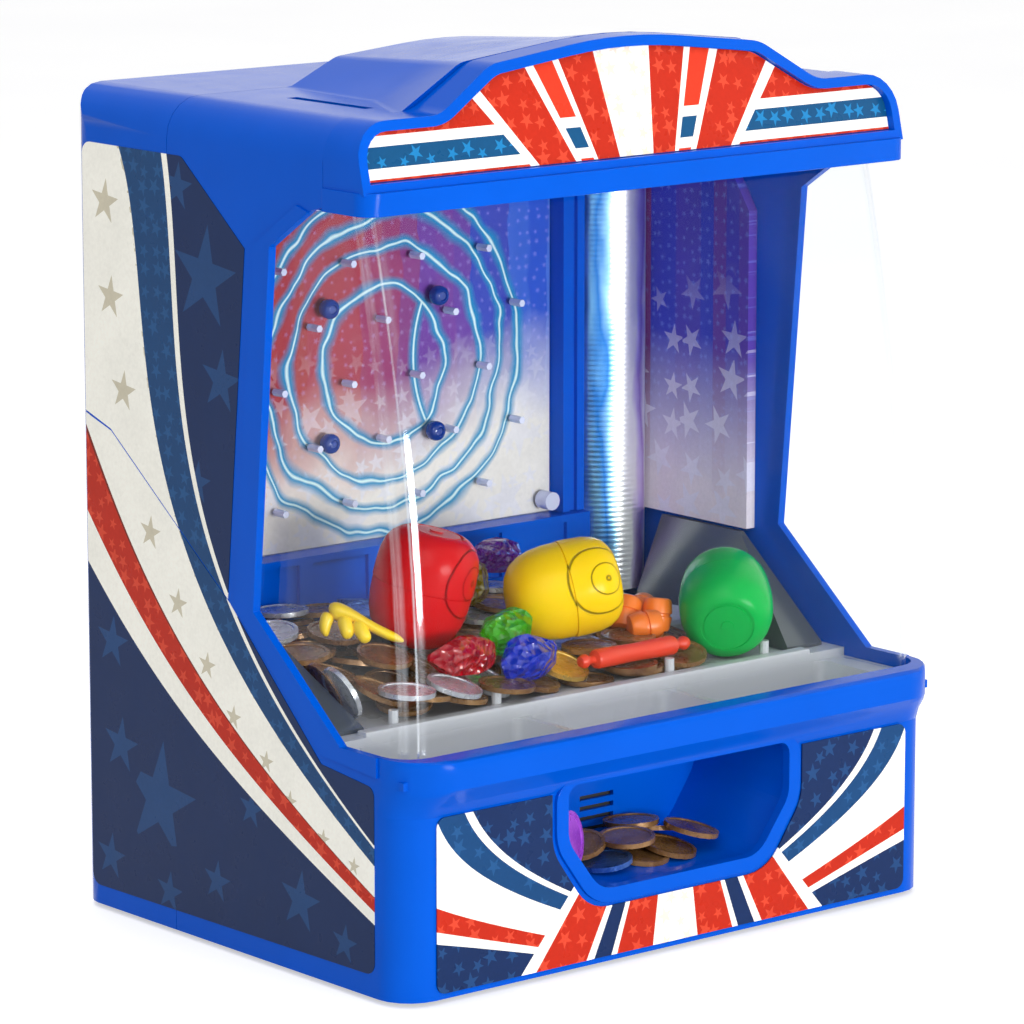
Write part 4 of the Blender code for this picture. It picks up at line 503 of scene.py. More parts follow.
def clear_styrene(name, painted_glints=()):
    """Clear polystyrene: nearly invisible face on, and pale and mirror-like where it turns away, with
    painted upright highlight lines where glints are given.
    """
    material, tree, place = blank(name, Base_Color=linear("#F2F8FF"), Roughness=0.04, Metallic=1.0)
    wave = add_node(tree, "TexNoise", {"Vector": place, "Scale": 1 / 60, "Detail": 2})
    finish(tree, None, None, wave, 0.08)
    facing = add_node(tree, "LayerWeight", {"Blend": 0.5}, out="Facing")
    steep = add_node(tree, "Math", (facing, 4.0), operation="POWER")
    edge = add_node(tree, "Math", (steep, 0.6, 0.003), operation="MULTIPLY_ADD")
    scuff = add_node(tree, "TexNoise", {"Vector": place, "Scale": 1 / 6, "Detail": 5})
    scuff = add_node(tree, "MapRange", (scuff, 0.5, 0.8, 0.0, 0.003))
    share = add_node(tree, "Math", (edge, scuff), operation="ADD")
    # painted highlight: where the surface normal turns sideways by the listed amounts, more of the mirror
    # shader is mixed in, broken up by noise
    if painted_glints:
        turn = add_node(tree, "SeparateXYZ", (add_node(tree, "TexCoord", out="Normal"),))
        sideways = add_node(tree, "Math", (turn,), operation="ABSOLUTE")
        glint_breakup = add_node(tree, "TexNoise", {"Vector": place, "Scale": 1 / 26, "Detail": 2})
        glint_breakup = add_node(tree, "MapRange", (glint_breakup, 0.35, 0.6, 0.35, 1.15))
    for where, width, power in painted_glints:
        painted_glint = add_node(tree, "MapRange", (away_from(tree, sideways, where), 0.0, width, power, 0))
        share = add_node(tree, "Math", (painted_glint, glint_breakup, share), operation="MULTIPLY_ADD")
    see_through = add_node(tree, "BsdfTransparent", {"Color": linear("#FEFFFF")})
    mix = add_node(tree, "MixShader", (share, see_through, tree.nodes[SHADER].outputs[0]))
    tree.links.new(mix, tree.nodes["Material Output"].inputs["Surface"])
    return material


def printed_film(name, picture, stars, roughness=0.3):
    """A printed sheet: flat ink under a thin even gloss, with the sheet's own slight wave."""
    material, tree, place = blank(name, Specular_IOR_Level=0.12)
    ink = picture(tree, place, stars)
    fleck, shade = patches(tree, place, 1.6, 3, 0.96, 1.03), patches(tree, place, 22, 3, 0.95, 1.02)
    tone = add_node(tree, "Math", (fleck, shade), operation="MULTIPLY")
    tint = add_node(tree, "CombineColor", (tone, tone, tone))
    ink = add_node(tree, "Mix", {0: 1.0, 6: ink, 7: tint}, blend_type="MULTIPLY", **MIX_COLOURS)
    gloss = patches(tree, place, 9, 3, roughness * 0.85, roughness * 1.2)
    wave = add_node(tree, "TexNoise", {"Vector": place, "Scale": 1 / 30, "Detail": 2})
    finish(tree, ink, gloss, wave, 0.12)
    return material


def rainbow_foil():
    """Holographic foil, roll embossed: fine level grooves that split white light into pale colours, and
    white highlight bands painted down the column.
    """
    material, tree, place = blank("holographic_foil_embossed", Metallic=0.85, Roughness=0.3)
    parts = add_node(tree, "SeparateXYZ", (place,), out=None)
    low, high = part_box("foil_column")
    across = add_node(tree, "Math", (parts.outputs[0], low.x / MM), operation="SUBTRACT")
    share = add_node(tree, "Math", (across, (high.x - low.x) / MM), operation="DIVIDE")
    tall = add_node(tree, "Mapping", {"Vector": place, "Scale": (1, 1, 0.4)})
    drift = add_node(tree, "Math", (share, patches(tree, tall, 16, 3, -0.07, 0.07)), operation="ADD")
    # foil colours across the column; the white stops are painted highlights where the round column catches
    # the light
    stops = [
        (0.0, "#2C78C0"), (0.1, "#7CC0F4"), (0.18, "#2A7CD4"), (0.28, "#A4DCFF"), (0.38, "#FFFFFF"),
        (0.56, "#FFFFFF"), (0.64, "#D8C8F6"), (0.72, "#A886D4"), (0.82, "#FFFFFF"), (0.92, "#B8B8D8"),
        (1.0, "#F0F2FF"),
    ]
    # grooves 2.2 mm apart, coarser than the foil's own so that they show
    groove = add_node(tree, "Math", (parts.outputs[2], tau / 2.2), operation="MULTIPLY")
    groove = add_node(tree, "Math", (groove,), operation="SINE")
    rough = add_node(tree, "TexNoise", {"Vector": place, "Scale": 1 / 5, "Detail": 2})
    relief = add_node(tree, "Math", (groove, rough), operation="ADD")
    finish(tree, colours_along(tree, drift, stops), None, relief, 0.03)
    return material


def struck_token(name, face, rim, metallic, roughness):
    """A metallised plastic token: patches worn down to a paler tone, crossed by fine scratches."""
    material, tree, place = blank(name, Metallic=metallic)
    values = {"Vector": place, "Scale": 1 / 1.3, "Detail": 4, "Distortion": 0.6}
    scratch = add_node(tree, "MapRange", (add_node(tree, "TexNoise", values), 0.45, 0.75, 0, 0.55))
    worn = patches(tree, place, 16, 2, 0, 1)
    colour = add_node(tree, "Mix", {0: worn, 6: linear(face), 7: linear(rim)}, **MIX_COLOURS)
    colour = add_node(tree, "Mix", {0: scratch, 6: colour, 7: linear(rim)}, **MIX_COLOURS)
    gloss = patches(tree, place, 5, 3, roughness * 0.7, roughness * 1.3)
    relief = add_node(tree, "TexNoise", {"Vector": place, "Scale": 1 / 0.9, "Detail": 3})
    finish(tree, colour, gloss, relief, 0.05)
    return material


def cast_crystal(name, colour):
    """A cast acrylic gem: a clear coloured body with deeper patches, and fine facets on its flat sides."""
    material, tree, place = blank(name, Transmission_Weight=0.6, Roughness=0.02, IOR=1.49)
    deep = (*(c * 0.6 for c in linear(colour)[:3]), 1)
    tones = {0: patches(tree, place, 4, 3, 0, 1), 6: deep, 7: linear(colour)}
    tone = add_node(tree, "Mix", tones, **MIX_COLOURS)
    facets = add_node(tree, "TexVoronoi", {"Vector": place, "Scale": 1 / 4}, out="Distance", feature="F1")
    finish(tree, tone, None, facets, 3.2)
    return material


def plated_steel():
    """Zinc-plated steel, pressed: bright with faint cloudy plating and a fine grain."""
    material, tree, place = blank("zinc_plated_steel_pressed", Metallic=1.0)
    values = {0: patches(tree, place, 4, 3, 0, 1), 6: linear("#A9ABAE"), 7: linear("#C9CACC")}
    relief = add_node(tree, "TexNoise", {"Vector": place, "Scale": 1 / 0.5, "Detail": 2})
    gloss = patches(tree, place, 2, 3, 0.24, 0.42)
    finish(tree, add_node(tree, "Mix", values, **MIX_COLOURS), gloss, relief, 0.02)
    return material


def circuit_board():
    """Glass-fibre board under green solder mask: straight copper tracks show through as a paler green."""
    material, tree, place = blank("fr4_board_solder_masked", Coat_Weight=0.3)
    values = {"Vector": place, "Scale": 0.25, "Mortar Size": 0.08, "Color1": linear("#0E5A2C")}
    values |= {"Color2": linear("#11683A"), "Mortar": linear("#2F8F52")}
    tracks = add_node(tree, "TexBrick", values, out=None)
    gloss = patches(tree, place, 6, 2, 0.3, 0.45)
    finish(tree, tracks.outputs["Color"], gloss, tracks.outputs["Fac"], 0.05)
    return material


def cell_wrap():
    """Dry cell in shrink-wrapped film: dark sleeve, one copper band and a bare steel end."""
    material, tree, place = blank("dry_cell_shrink_wrapped", Coat_Weight=0.3)
    low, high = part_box("cell_1")
    parts = add_node(tree, "SeparateXYZ", (place,), out=None)
    along = add_node(tree, "Math", (parts.outputs[1], (low.y - PANEL_Y) / MM), operation="SUBTRACT")
    share = add_node(tree, "Math", (along, (high.y - low.y) / MM), operation="DIVIDE")
    colour = bands_along(tree, share, (0.03, 0.68, 0.95), "#B9BBBE", "#23262B", "#B5713A", "#B9BBBE")
    relief = add_node(tree, "TexNoise", {"Vector": place, "Scale": 1 / 3, "Detail": 3})
    finish(tree, colour, patches(tree, place, 5, 3, 0.25, 0.4), relief, 0.05)
    return material


# Pieces


def deselect():
    if bpy.context.mode != "OBJECT":
        bpy.ops.object.mode_set(mode="OBJECT")
    bpy.ops.object.select_all(action="DESELECT")


def dress(piece, material, body):
    """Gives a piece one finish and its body."""
    piece.data.materials.clear()
    piece.data.materials.append(material)
    for face in piece.data.polygons:
        face.material_index = 0
    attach(piece, body)
    return piece


def smooth_copy(node, name, material, body, angle=32.0):
    """A CAD solid again, with its triangles joined up, so that its rounded edges shade smoothly."""
    deselect()
    source = frame["nodes"][node]
    piece = source.copy()
    piece.data = source.data.copy()
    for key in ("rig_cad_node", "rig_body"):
        if key in piece:
            del piece[key]
    piece.parent = None
    bpy.context.scene.collection.objects.link(piece)
    piece.name = name
    piece.data.name = name
    piece.select_set(True)
    bpy.context.view_layer.objects.active = piece
    if piece.data.has_custom_normals:
        bpy.ops.mesh.customdata_custom_splitnormals_clear()
    bpy.ops.object.mode_set(mode="EDIT")
    bpy.ops.mesh.select_all(action="SELECT")
    bpy.ops.mesh.remove_doubles(threshold=0.002 * MM)
    bpy.ops.mesh.dissolve_degenerate(threshold=0.001 * MM)
    bpy.ops.object.mode_set(mode="OBJECT")
    bpy.ops.object.shade_smooth_by_angle(angle=radians(angle))
    weighted = piece.modifiers.new("even_shading", "WEIGHTED_NORMAL")
    weighted.keep_sharp = True
    bpy.ops.object.modifier_apply(modifier=weighted.name)
    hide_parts(node)
    return dress(piece, material, body)


def lathe(name, profile, segments=32):
    """A turned piece round the upright axis, from (radius, height) pairs in mm, closed at both ends."""
    deselect()
    first = profile[0]
    bpy.ops.mesh.primitive_circle_add(
        vertices=segments, radius=first[0] * MM, location=(0, 0, first[1] * MM), fill_type="NGON"
    )
    piece = bpy.context.object
    piece.name = name
    bpy.ops.object.transform_apply(location=True, rotation=True, scale=True)
    bpy.ops.object.mode_set(mode="EDIT")
    bpy.ops.mesh.select_all(action="SELECT")
    for (radius, height), (next_radius, next_height) in zip(profile, profile[1:]):
        bpy.ops.mesh.extrude_region_move(
            TRANSFORM_OT_translate={"value": (0, 0, (next_height - height) * MM)}
        )
        scale = next_radius / radius
        bpy.ops.transform.resize(value=(scale, scale, 1), center_override=(0, 0, next_height * MM))
    bpy.ops.mesh.select_all(action="SELECT")
    bpy.ops.mesh.normals_make_consistent(inside=False)
    bpy.ops.object.mode_set(mode="OBJECT")
    bpy.ops.object.shade_smooth_by_angle(angle=radians(40))
    return piece


def placed(piece, matrix):
    """Puts a piece's mesh where the matrix says, and leaves its object at the origin."""
    piece.data.transform(matrix)
    piece.data.update()
    return piece


def joined(pieces, name):
    """Several pieces as one."""
    deselect()
    for piece in pieces:
        piece.select_set(True)
    bpy.context.view_layer.objects.active = pieces[0]
    if len(pieces) > 1:
        bpy.ops.object.join()
    piece = bpy.context.object
    piece.name = name
    return piece


def long_axis(node):
    """The middle of a CAD solid and the direction of its longest side."""
    points = np.array([vertex.co[:] for vertex in frame["nodes"][node].data.vertices])
    low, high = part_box(node)
    middle = (low + high) / 2
    _, _, rows = np.linalg.svd(points - points.mean(0), full_matrices=False)
    return middle, Vector(rows[0]).normalized()


def aimed(middle, direction):
    """The matrix that takes the upright axis at the origin to a direction through a point."""
    turn = Vector((0, 0, 1)).rotation_difference(direction).to_matrix().to_4x4()
    return Matrix.Translation(middle) @ turn


# Peg plate: the round bosses that hold it to the board
PLATE_THICKNESS = 1.5 * MM
BOSS_DEPTH = 170.0
BOSSES = ((-41, 240), (-41, 184), (15, 183), (17, 240))
BOSS_PROFILE = (
    (3.6, -2.6), (4.0, -2.2), (4.2, 0.0), (3.9, 1.4), (3.2, 2.2), (2.0, 2.6), (1.6, 2.0), (0.8, 1.8),
)

# Small prizes

GEM_SEED = 3
# How far each gem's lumps stand out past its plain solid, across, back and up
GEM_SWELL = {
    "amber": (1.12, 1.12, 1.12),
    "green": (1.15, 1.1, 1.1),
    "red": (1.4, 1.0, 1.05),
    "blue": (1.25, 1.15, 1.2),
}
# Which way the pressed lids of two capsules face
LID_MARKS = {"red": (0.45, -0.85, 0.15), "yellow": (0.22, -0.92, 0.32)}
# A rolling pin: a ball at each end, thin necks and a thick roller
STICK_PROFILE = (
    (0.6, -29.5), (2.1, -29.0), (2.9, -27.4), (2.9, -26.2), (2.0, -24.8), (1.6, -23.6), (1.8, -22.0),
    (3.7, -21.2), (4.1, -20.0), (4.0, -12.0), (3.7, 0.0), (4.0, 12.0), (4.1, 20.0), (3.7, 21.2), (1.8, 22.0),
    (1.6, 23.6), (2.0, 24.8), (2.9, 26.2), (2.9, 27.4), (2.1, 29.0), (0.6, 29.5),
)
# A little barrel with a groove round its waist
BARREL_PROFILE = (
    (3.8, -7.0), (5.2, -6.6), (5.8, -5.6), (6.3, -2.6), (6.4, -0.8), (5.7, -0.5), (5.7, 0.5), (6.4, 0.8),
    (6.3, 2.6), (5.8, 5.6), (5.2, 6.6), (3.8, 7.0),
)
# Where each barrel lies and which way it points
BARRELS = (
    ((54, 94, 112), (0.5, 0.3, 0.8)),
    ((66, 88, 111), (0.2, 0.1, 1.0)),
    ((55, 83, 108.5), (0.9, -0.4, 0.1)),
    ((67, 99, 111), (0.8, 0.6, 0.15)),
)


def nugget(name, middle, half, random):
    """A gem: a ball cut by random flats and swollen between them, inside a box of half sizes."""
    deselect()
    bpy.ops.mesh.primitive_ico_sphere_add(subdivisions=3, radius=1.0, location=(0, 0, 0))
    gem = bpy.context.object
    gem.name = name
    bpy.ops.object.mode_set(mode="EDIT")
    for _ in range(26):
        normal = Vector(random.normal(0, 1, 3)).normalized()
        bpy.ops.mesh.select_all(action="SELECT")
        bpy.ops.mesh.bisect(
            plane_co=normal * random.uniform(0.7, 0.95), plane_no=normal, use_fill=True, clear_outer=True
        )
    bpy.ops.mesh.select_all(action="SELECT")
    bpy.ops.mesh.normals_make_consistent(inside=False)
    bpy.ops.object.mode_set(mode="OBJECT")
    points = np.array([vertex.co[:] for vertex in gem.data.vertices])
    low, high = points.min(0), points.max(0)
    scale = Matrix.Diagonal(Vector([2 * h / s for h, s in zip(half, high - low)])).to_4x4()
    placed(gem, Matrix.Translation(middle) @ scale @ Matrix.Translation(-Vector((low + high) / 2)))
    bpy.ops.object.shade_flat()
    return gem


def sausage(name, points, radii, segments=14):
    """A round bar that bends through points in mm on the machine, with a radius in mm at each."""
    deselect()
    path = [at(*point) for point in points]
    ways = [(after - before).normalized() for before, after in zip([path[0], *path], [*path[1:], path[-1]])]
    bpy.ops.mesh.primitive_circle_add(vertices=segments, radius=radii[0] * MM, fill_type="NGON")
    piece = bpy.context.object
    piece.name = name
    placed(piece, aimed(path[0], ways[0]))
    piece.location = (0, 0, 0)
    bpy.ops.object.mode_set(mode="EDIT")
    for index in range(1, len(path)):
        bpy.ops.mesh.select_mode(type="FACE")
        bpy.ops.mesh.extrude_region_move(TRANSFORM_OT_translate={"value": path[index] - path[index - 1]})
        scale = radii[index] / radii[index - 1]
        bpy.ops.transform.resize(value=(scale, scale, scale), center_override=path[index])
    bpy.ops.mesh.select_all(action="SELECT")
    bpy.ops.mesh.normals_make_consistent(inside=False)
    bpy.ops.object.mode_set(mode="OBJECT")
    rounded = piece.modifiers.new("rounded", "SUBSURF")
    rounded.levels = rounded.render_levels = 2
    bpy.ops.object.modifier_apply(modifier=rounded.name)
    bpy.ops.object.shade_smooth()
    return piece


def yellow_figure():
    """A bent figure: a head with a crest, a back, a tail and two short legs."""
    low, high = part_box("yellow_toy")
    x, depth = (low.x + high.x) / 2 / MM, ((low.y + high.y) / 2 - PANEL_Y) / MM
    foot = (low.z - at(0, 0, 0).z) / MM
    limbs = (
        (
            ((-9, 10, 12), (-6, 8, 14), (-2, 4, 12), (2, -2, 8), (6, -7, 5), (11, -12, 3)),
            (3.6, 4.9, 4.6, 4.2, 3.6, 2.0),
        ),
        (((-6, 6, 12), (-7, 2, 8), (-7.5, 0, 4)), (3.2, 3.0, 2.6)),
        (((-2, 2, 10), (-3, -3, 6), (-3, -6, 3)), (3.4, 3.0, 2.6)),
        (((-9, 10, 13), (-12, 10, 9), (-13, 9, 4)), (3.2, 2.8, 2.0)),
    )
    parts = []
    for number, (points, radii) in enumerate(limbs):
        spots = [(x + dx, depth + dy, foot + dz) for dx, dy, dz in points]
        parts.append(sausage(f"limb_{number}", spots, radii))
    return joined(parts, "yellow_figure")


# Token heaps

CELL = 1.5  # mm, the grid that the heap is built on


def heights_on(nodes, xs, depths, upwards=False):
    """The highest surface of some solids over each place of a grid, or their lowest from below."""
    start = at(0, 0, -20).z if upwards else at(0, 0, 400).z
    ray = Vector((0, 0, 1 if upwards else -1))
    found = np.full((len(xs), len(depths)), np.inf if upwards else -np.inf)
    base = at(0, 0, 0).z
    for node in nodes:
        mesh = (frame["nodes"].get(node) or bpy.data.objects[node]).data
        points = np.array([vertex.co for vertex in mesh.vertices])
        low, high = Vector(points.min(0)), Vector(points.max(0))
        faces = [tuple(face.vertices) for face in mesh.polygons]
        solid = BVHTree.FromPolygons([vertex.co for vertex in mesh.vertices], faces)
        for i, x in enumerate(xs):
            if not low.x - MM <= x * MM <= high.x + MM:
                continue
            for j, depth in enumerate(depths):
                y = PANEL_Y + depth * MM
                if not low.y <= y <= high.y:
                    continue
                where = solid.ray_cast(Vector((x * MM, y, start)), ray)[0]
                if where:
                    height = (where.z - base) / MM
                    found[i, j] = min(found[i, j], height) if upwards else max(found[i, j], height)
    return found


def spread_heap(target, ground, margin):
    """The heap's surface, run out a little past its edge with a gentle fall."""
    for _ in range(int(margin / CELL)):
        wide = np.pad(target, 1, constant_values=-np.inf)
        around = np.max([wide[:-2, 1:-1], wide[2:, 1:-1], wide[1:-1, :-2], wide[1:-1, 2:]], axis=0) - 0.5
        open_floor = np.isfinite(ground) & (ground < around)
        target = np.where(np.isfinite(target) | ~open_floor, target, around)
    return target


def heap_tokens(heap, floors, obstacles, radius, thickness, most, random, margin=9.0, front_rise=None):
    """Places for tokens that fill a heap's shape: each drops where the heap is lowest, on what is there."""
    low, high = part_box(heap)
    room = radius + 4
    xs = np.arange(low.x / MM - room, high.x / MM + room, CELL)
    depths = np.arange((low.y - PANEL_Y) / MM - room, (high.y - PANEL_Y) / MM + room, CELL)
    target = heights_on([heap], xs, depths)
    ground = heights_on(floors, xs, depths)
    ceiling = heights_on(obstacles, xs, depths, upwards=True) - 0.4
    if front_rise:
        rise = front_rise[0] + front_rise[1] * xs[:, None] + 0 * depths[None, :]
        near = np.isfinite(target) & (depths[None, :] < 90)
        target = np.where(near, np.maximum(target, rise), target)
    target = spread_heap(target, ground, margin)
    wanted = np.isfinite(target)
    pile = np.where(np.isfinite(ground), ground, 1e3)
    steps = int(radius / CELL) + 1
    offsets = np.array(
        [
            (i, j)
            for i in range(-steps, steps + 1)
            for j in range(-steps, steps + 1)
            if (i * i + j * j) ** 0.5 * CELL <= radius + 0.4
        ]
    )
    edge = steps
    spots = np.argwhere(wanted)
    inside = (spots >= edge).all(1) & (spots[:, 0] < len(xs) - edge) & (spots[:, 1] < len(depths) - edge)
    spots = spots[inside]
    found = []
    misses = 0
    refused = np.zeros(target.shape, int)
    while len(found) < most and misses < 400:
        tries = spots[random.integers(0, len(spots), 36)]
        best = None
        for spot in tries:
            cells = spot + offsets
            i, j = cells[:, 0], cells[:, 1]
            covered = wanted[i, j].mean()
            if covered < 0.72 or refused[tuple(spot)] > 1:
                continue
            need = np.where(wanted[i, j], target[i, j] - pile[i, j], 0).mean()
            if best is None or need > best[0]:
                best = (need, spot, i, j)
        if best is None or best[0] < 0.4:
            misses += 1
            continue
        _, spot, i, j = best
        across = (i - spot[0]) * CELL
        back = (j - spot[1]) * CELL
        choice = None
        for _ in range(26):
            tilt, turn = abs(random.normal(0, 0.24)), random.uniform(0, tau)
            if tilt > 0.75:
                continue
            slope = (tilt * cos(turn), tilt * sin(turn))
            half = thickness / 2 * (1 + tilt**2) ** 0.5
            plane = slope[0] * across + slope[1] * back
            rest = (pile[i, j] - plane).max() + half
            top = rest + plane + half
            if (top > ceiling[i, j]).any() or rest > 900:
                continue
            gap = (rest + plane - half - pile[i, j]).mean()
            over = np.where(wanted[i, j], np.maximum(top - target[i, j] - 1.2, 0), 0).max()
            score = gap + 2.5 * over
            if choice is None or score < choice[0]:
                choice = (score, over, rest, slope, top)
        if choice is None or choice[1] > 2.6:
            misses += 1
            refused[spot[0] - 1 : spot[0] + 2, spot[1] - 1 : spot[1] + 2] += 1
            continue
        misses = 0
        _, _, rest, slope, top = choice
        pile[i, j] = np.maximum(pile[i, j], top)
        normal = Vector((-slope[0], -slope[1], 1)).normalized()
        found.append((at(xs[spot[0]], depths[spot[1]], rest), normal))
    return found


def token_blank(radius, thickness):
    """One token: a disc with a raised rim and a sunk face with a raised middle on both sides."""
    deselect()
    bpy.ops.mesh.primitive_cylinder_add(vertices=18, radius=radius * MM, depth=thickness * MM)
    token = bpy.context.object
    bpy.ops.object.mode_set(mode="EDIT")
    bpy.ops.mesh.select_mode(type="FACE")
    for side in (1, -1):
        bpy.ops.mesh.select_all(action="DESELECT")
        bpy.ops.object.mode_set(mode="OBJECT")
        for face in token.data.polygons:
            face.select = face.normal.z * side > 0.9 and face.area > (radius * MM) ** 2
        bpy.ops.object.mode_set(mode="EDIT")
        bpy.ops.mesh.inset(thickness=1.5 * MM, depth=0)
        bpy.ops.mesh.inset(thickness=0.25 * MM, depth=-0.4 * MM)
    bpy.ops.object.mode_set(mode="OBJECT")
    bpy.ops.object.shade_smooth_by_angle(angle=radians(35))
    return token


def token_pieces(places, finishes, random, name, radius, thickness):
    """Tokens at their places, joined into one piece for each finish."""
    blank_token = token_blank(radius, thickness)
    groups = {key: [] for key in finishes}
    keys = list(finishes)
    shares = np.array([finishes[key][2] for key in keys])
    for middle, normal in places:
        key = keys[int(random.choice(len(keys), p=shares / shares.sum()))]
        token = blank_token.copy()
        token.data = blank_token.data.copy()
        bpy.context.scene.collection.objects.link(token)
        spin = Matrix.Rotation(random.uniform(0, tau), 4, "Z")
        placed(token, aimed(middle, normal) @ spin)
        groups[key].append(token)
    bpy.data.objects.remove(blank_token, do_unlink=True)
    made = []
    for key, tokens in groups.items():
        if tokens:
            material, slot, _ = finishes[key]
            made.append(dress(joined(tokens, f"{name}_{key}"), material, "cabinet"))
    return made


# Settings


class CasingSettings(bpy.types.PropertyGroup):
    blue: bpy.props.FloatVectorProperty(
        name="Casing blue", description="Colour of the blue plastic", default=linear("#0056CC")[:3],
        size=3, subtype="COLOR", min=0, max=1,
    )
    silver: bpy.props.FloatVectorProperty(
        name="Tray grey", description="Colour of the tray, pusher and wings", default=linear("#C9CBCF")[:3],
        size=3, subtype="COLOR", min=0, max=1,
    )
    stars: bpy.props.FloatProperty(
        name="Star strength", description="How strongly the stars show on the films", default=0.85,
        min=0, max=1, subtype="FACTOR",
    )


class TokenSettings(bpy.types.PropertyGroup):
    radius: bpy.props.FloatProperty(
        name="Token radius", description="Radius of one token", default=11.5 * MM, unit="LENGTH",
        subtype="DISTANCE",
    )
    thickness: bpy.props.FloatProperty(
        name="Token thickness", description="Thickness of one token", default=2.0 * MM, unit="LENGTH",
        subtype="DISTANCE",
    )
    most: bpy.props.IntProperty(
        name="Most tokens", description="The heap stops at this many tokens", default=300, min=1, max=600
    )
    seed: bpy.props.IntProperty(name="Seed", description="Start of the random draws", default=7, min=0)


class StageSettings(bpy.types.PropertyGroup):
    azimuth: bpy.props.FloatProperty(
        name="Azimuth", description="Angle of the camera round the machine", default=radians(-39.95),
        unit="ROTATION", subtype="ANGLE",
    )
    elevation: bpy.props.FloatProperty(
        name="Elevation", description="Angle of the camera above level", default=radians(10.96),
        unit="ROTATION", subtype="ANGLE",
    )
    distance: bpy.props.FloatProperty(
        name="Distance", description="From the camera to the machine", default=2.136, unit="LENGTH",
        subtype="DISTANCE",
    )
    lens: bpy.props.FloatProperty(name="Lens", description="Focal length in mm", default=182.9, min=10)
    lamp: bpy.props.FloatProperty(
        name="Lamp strength", description="Power of the main soft lamp in watts", default=8.6, min=0
    )


def hex_of(colour):
    """A linear colour as an sRGB hex value."""
    parts = [c * 12.92 if c <= 0.0031308 else 1.055 * c ** (1 / 2.4) - 0.055 for c in colour]
    return "#" + "".join(f"{round(255 * min(1, max(0, c))):02X}" for c in parts)


# Operators


class COINPUSHER_OT_casing(bpy.types.Operator):
    """Finish the blue casing, its hood, base, doors, feet and switch"""

    bl_idname = "coinpusher.casing"
    bl_label = "Casing"

    def execute(self, context):
        settings = context.scene.coinpusher_casing
        # ABS, injection moulded and glossy: deep colour with soft clear highlights
        tone = hex_of(settings.blue)
        blue = moulded("abs_blue_gloss_moulded", tone, 0.16, shade=0.05, Specular_IOR_Level=0.06)
        # ABS, spark-eroded mould: an even dark grain that hides the light
        black = moulded("abs_black_spark_textured", "#1B1C1E", 0.5, grain=0.7, grain_depth=0.04)
        # rubber, moulded: near black and dull, with a coarse skin
        rubber = moulded("rubber_black_moulded", "#141414", 0.75, grain=1.2, grain_depth=0.05)
        for node in ("front_shell", "rear_shell", "header_hood", "pinboard_sill", "prize_tray"):
            smooth_copy(node, f"{node}_finished", blue, "cabinet")
        smooth_copy("rear_door", "rear_door_finished", blue, "rear_door")
        smooth_copy("base_plate", "base_plate_finished", black, "cabinet")
        for number in (1, 2, 3, 4):
            smooth_copy(f"foot_{number}", f"foot_{number}_finished", rubber, "cabinet")
        for node in ("ceiling_panel", "pinboard"):
            smooth_copy(node, f"{node}_finished", blue, "cabinet")
        smooth_copy("switch_body", "switch_body_finished", black, "cabinet")
        smooth_copy("switch_knob", "switch_knob_finished", black, "switch_knob")
        return {"FINISHED"}


class COINPUSHER_OT_films(bpy.types.Operator):
    """Print the films on the sides, front and header, and the cards inside"""

    bl_idname = "coinpusher.films"
    bl_label = "Films and cards"

    def execute(self, context):
        stars = context.scene.coinpusher_casing.stars
        # polyester film, printed: flat inks with crisp edges under one even sheen
        side = printed_film("polyester_film_printed_ribbons", side_bands, stars)
        front = printed_film("polyester_film_printed_sweep", front_bands, stars)
        header = printed_film("polyester_film_printed_fan", header_bands, stars)
        # coated card, printed: a softer sheen than the films, so the glowing lines stay readable
        board = printed_film("coated_card_printed_rings", board_print, 1.0, 0.35)
        wall = printed_film("coated_card_printed_streaks", wall_print, 1.0, 0.35)
        films = {
            "left_label_lower": side,
            "left_label_upper": side,
            "right_label_lower": side,
            "right_label_upper": side,
            "front_label": front,
            "header_label": header,
            "pinboard_print": board,
            "left_wall_panel": wall,
            "right_wall_panel": wall,
            "foil_column": rainbow_foil(),
        }
        for node, material in films.items():
            smooth_copy(node, f"{node}_printed", material, "cabinet")
        return {"FINISHED"}


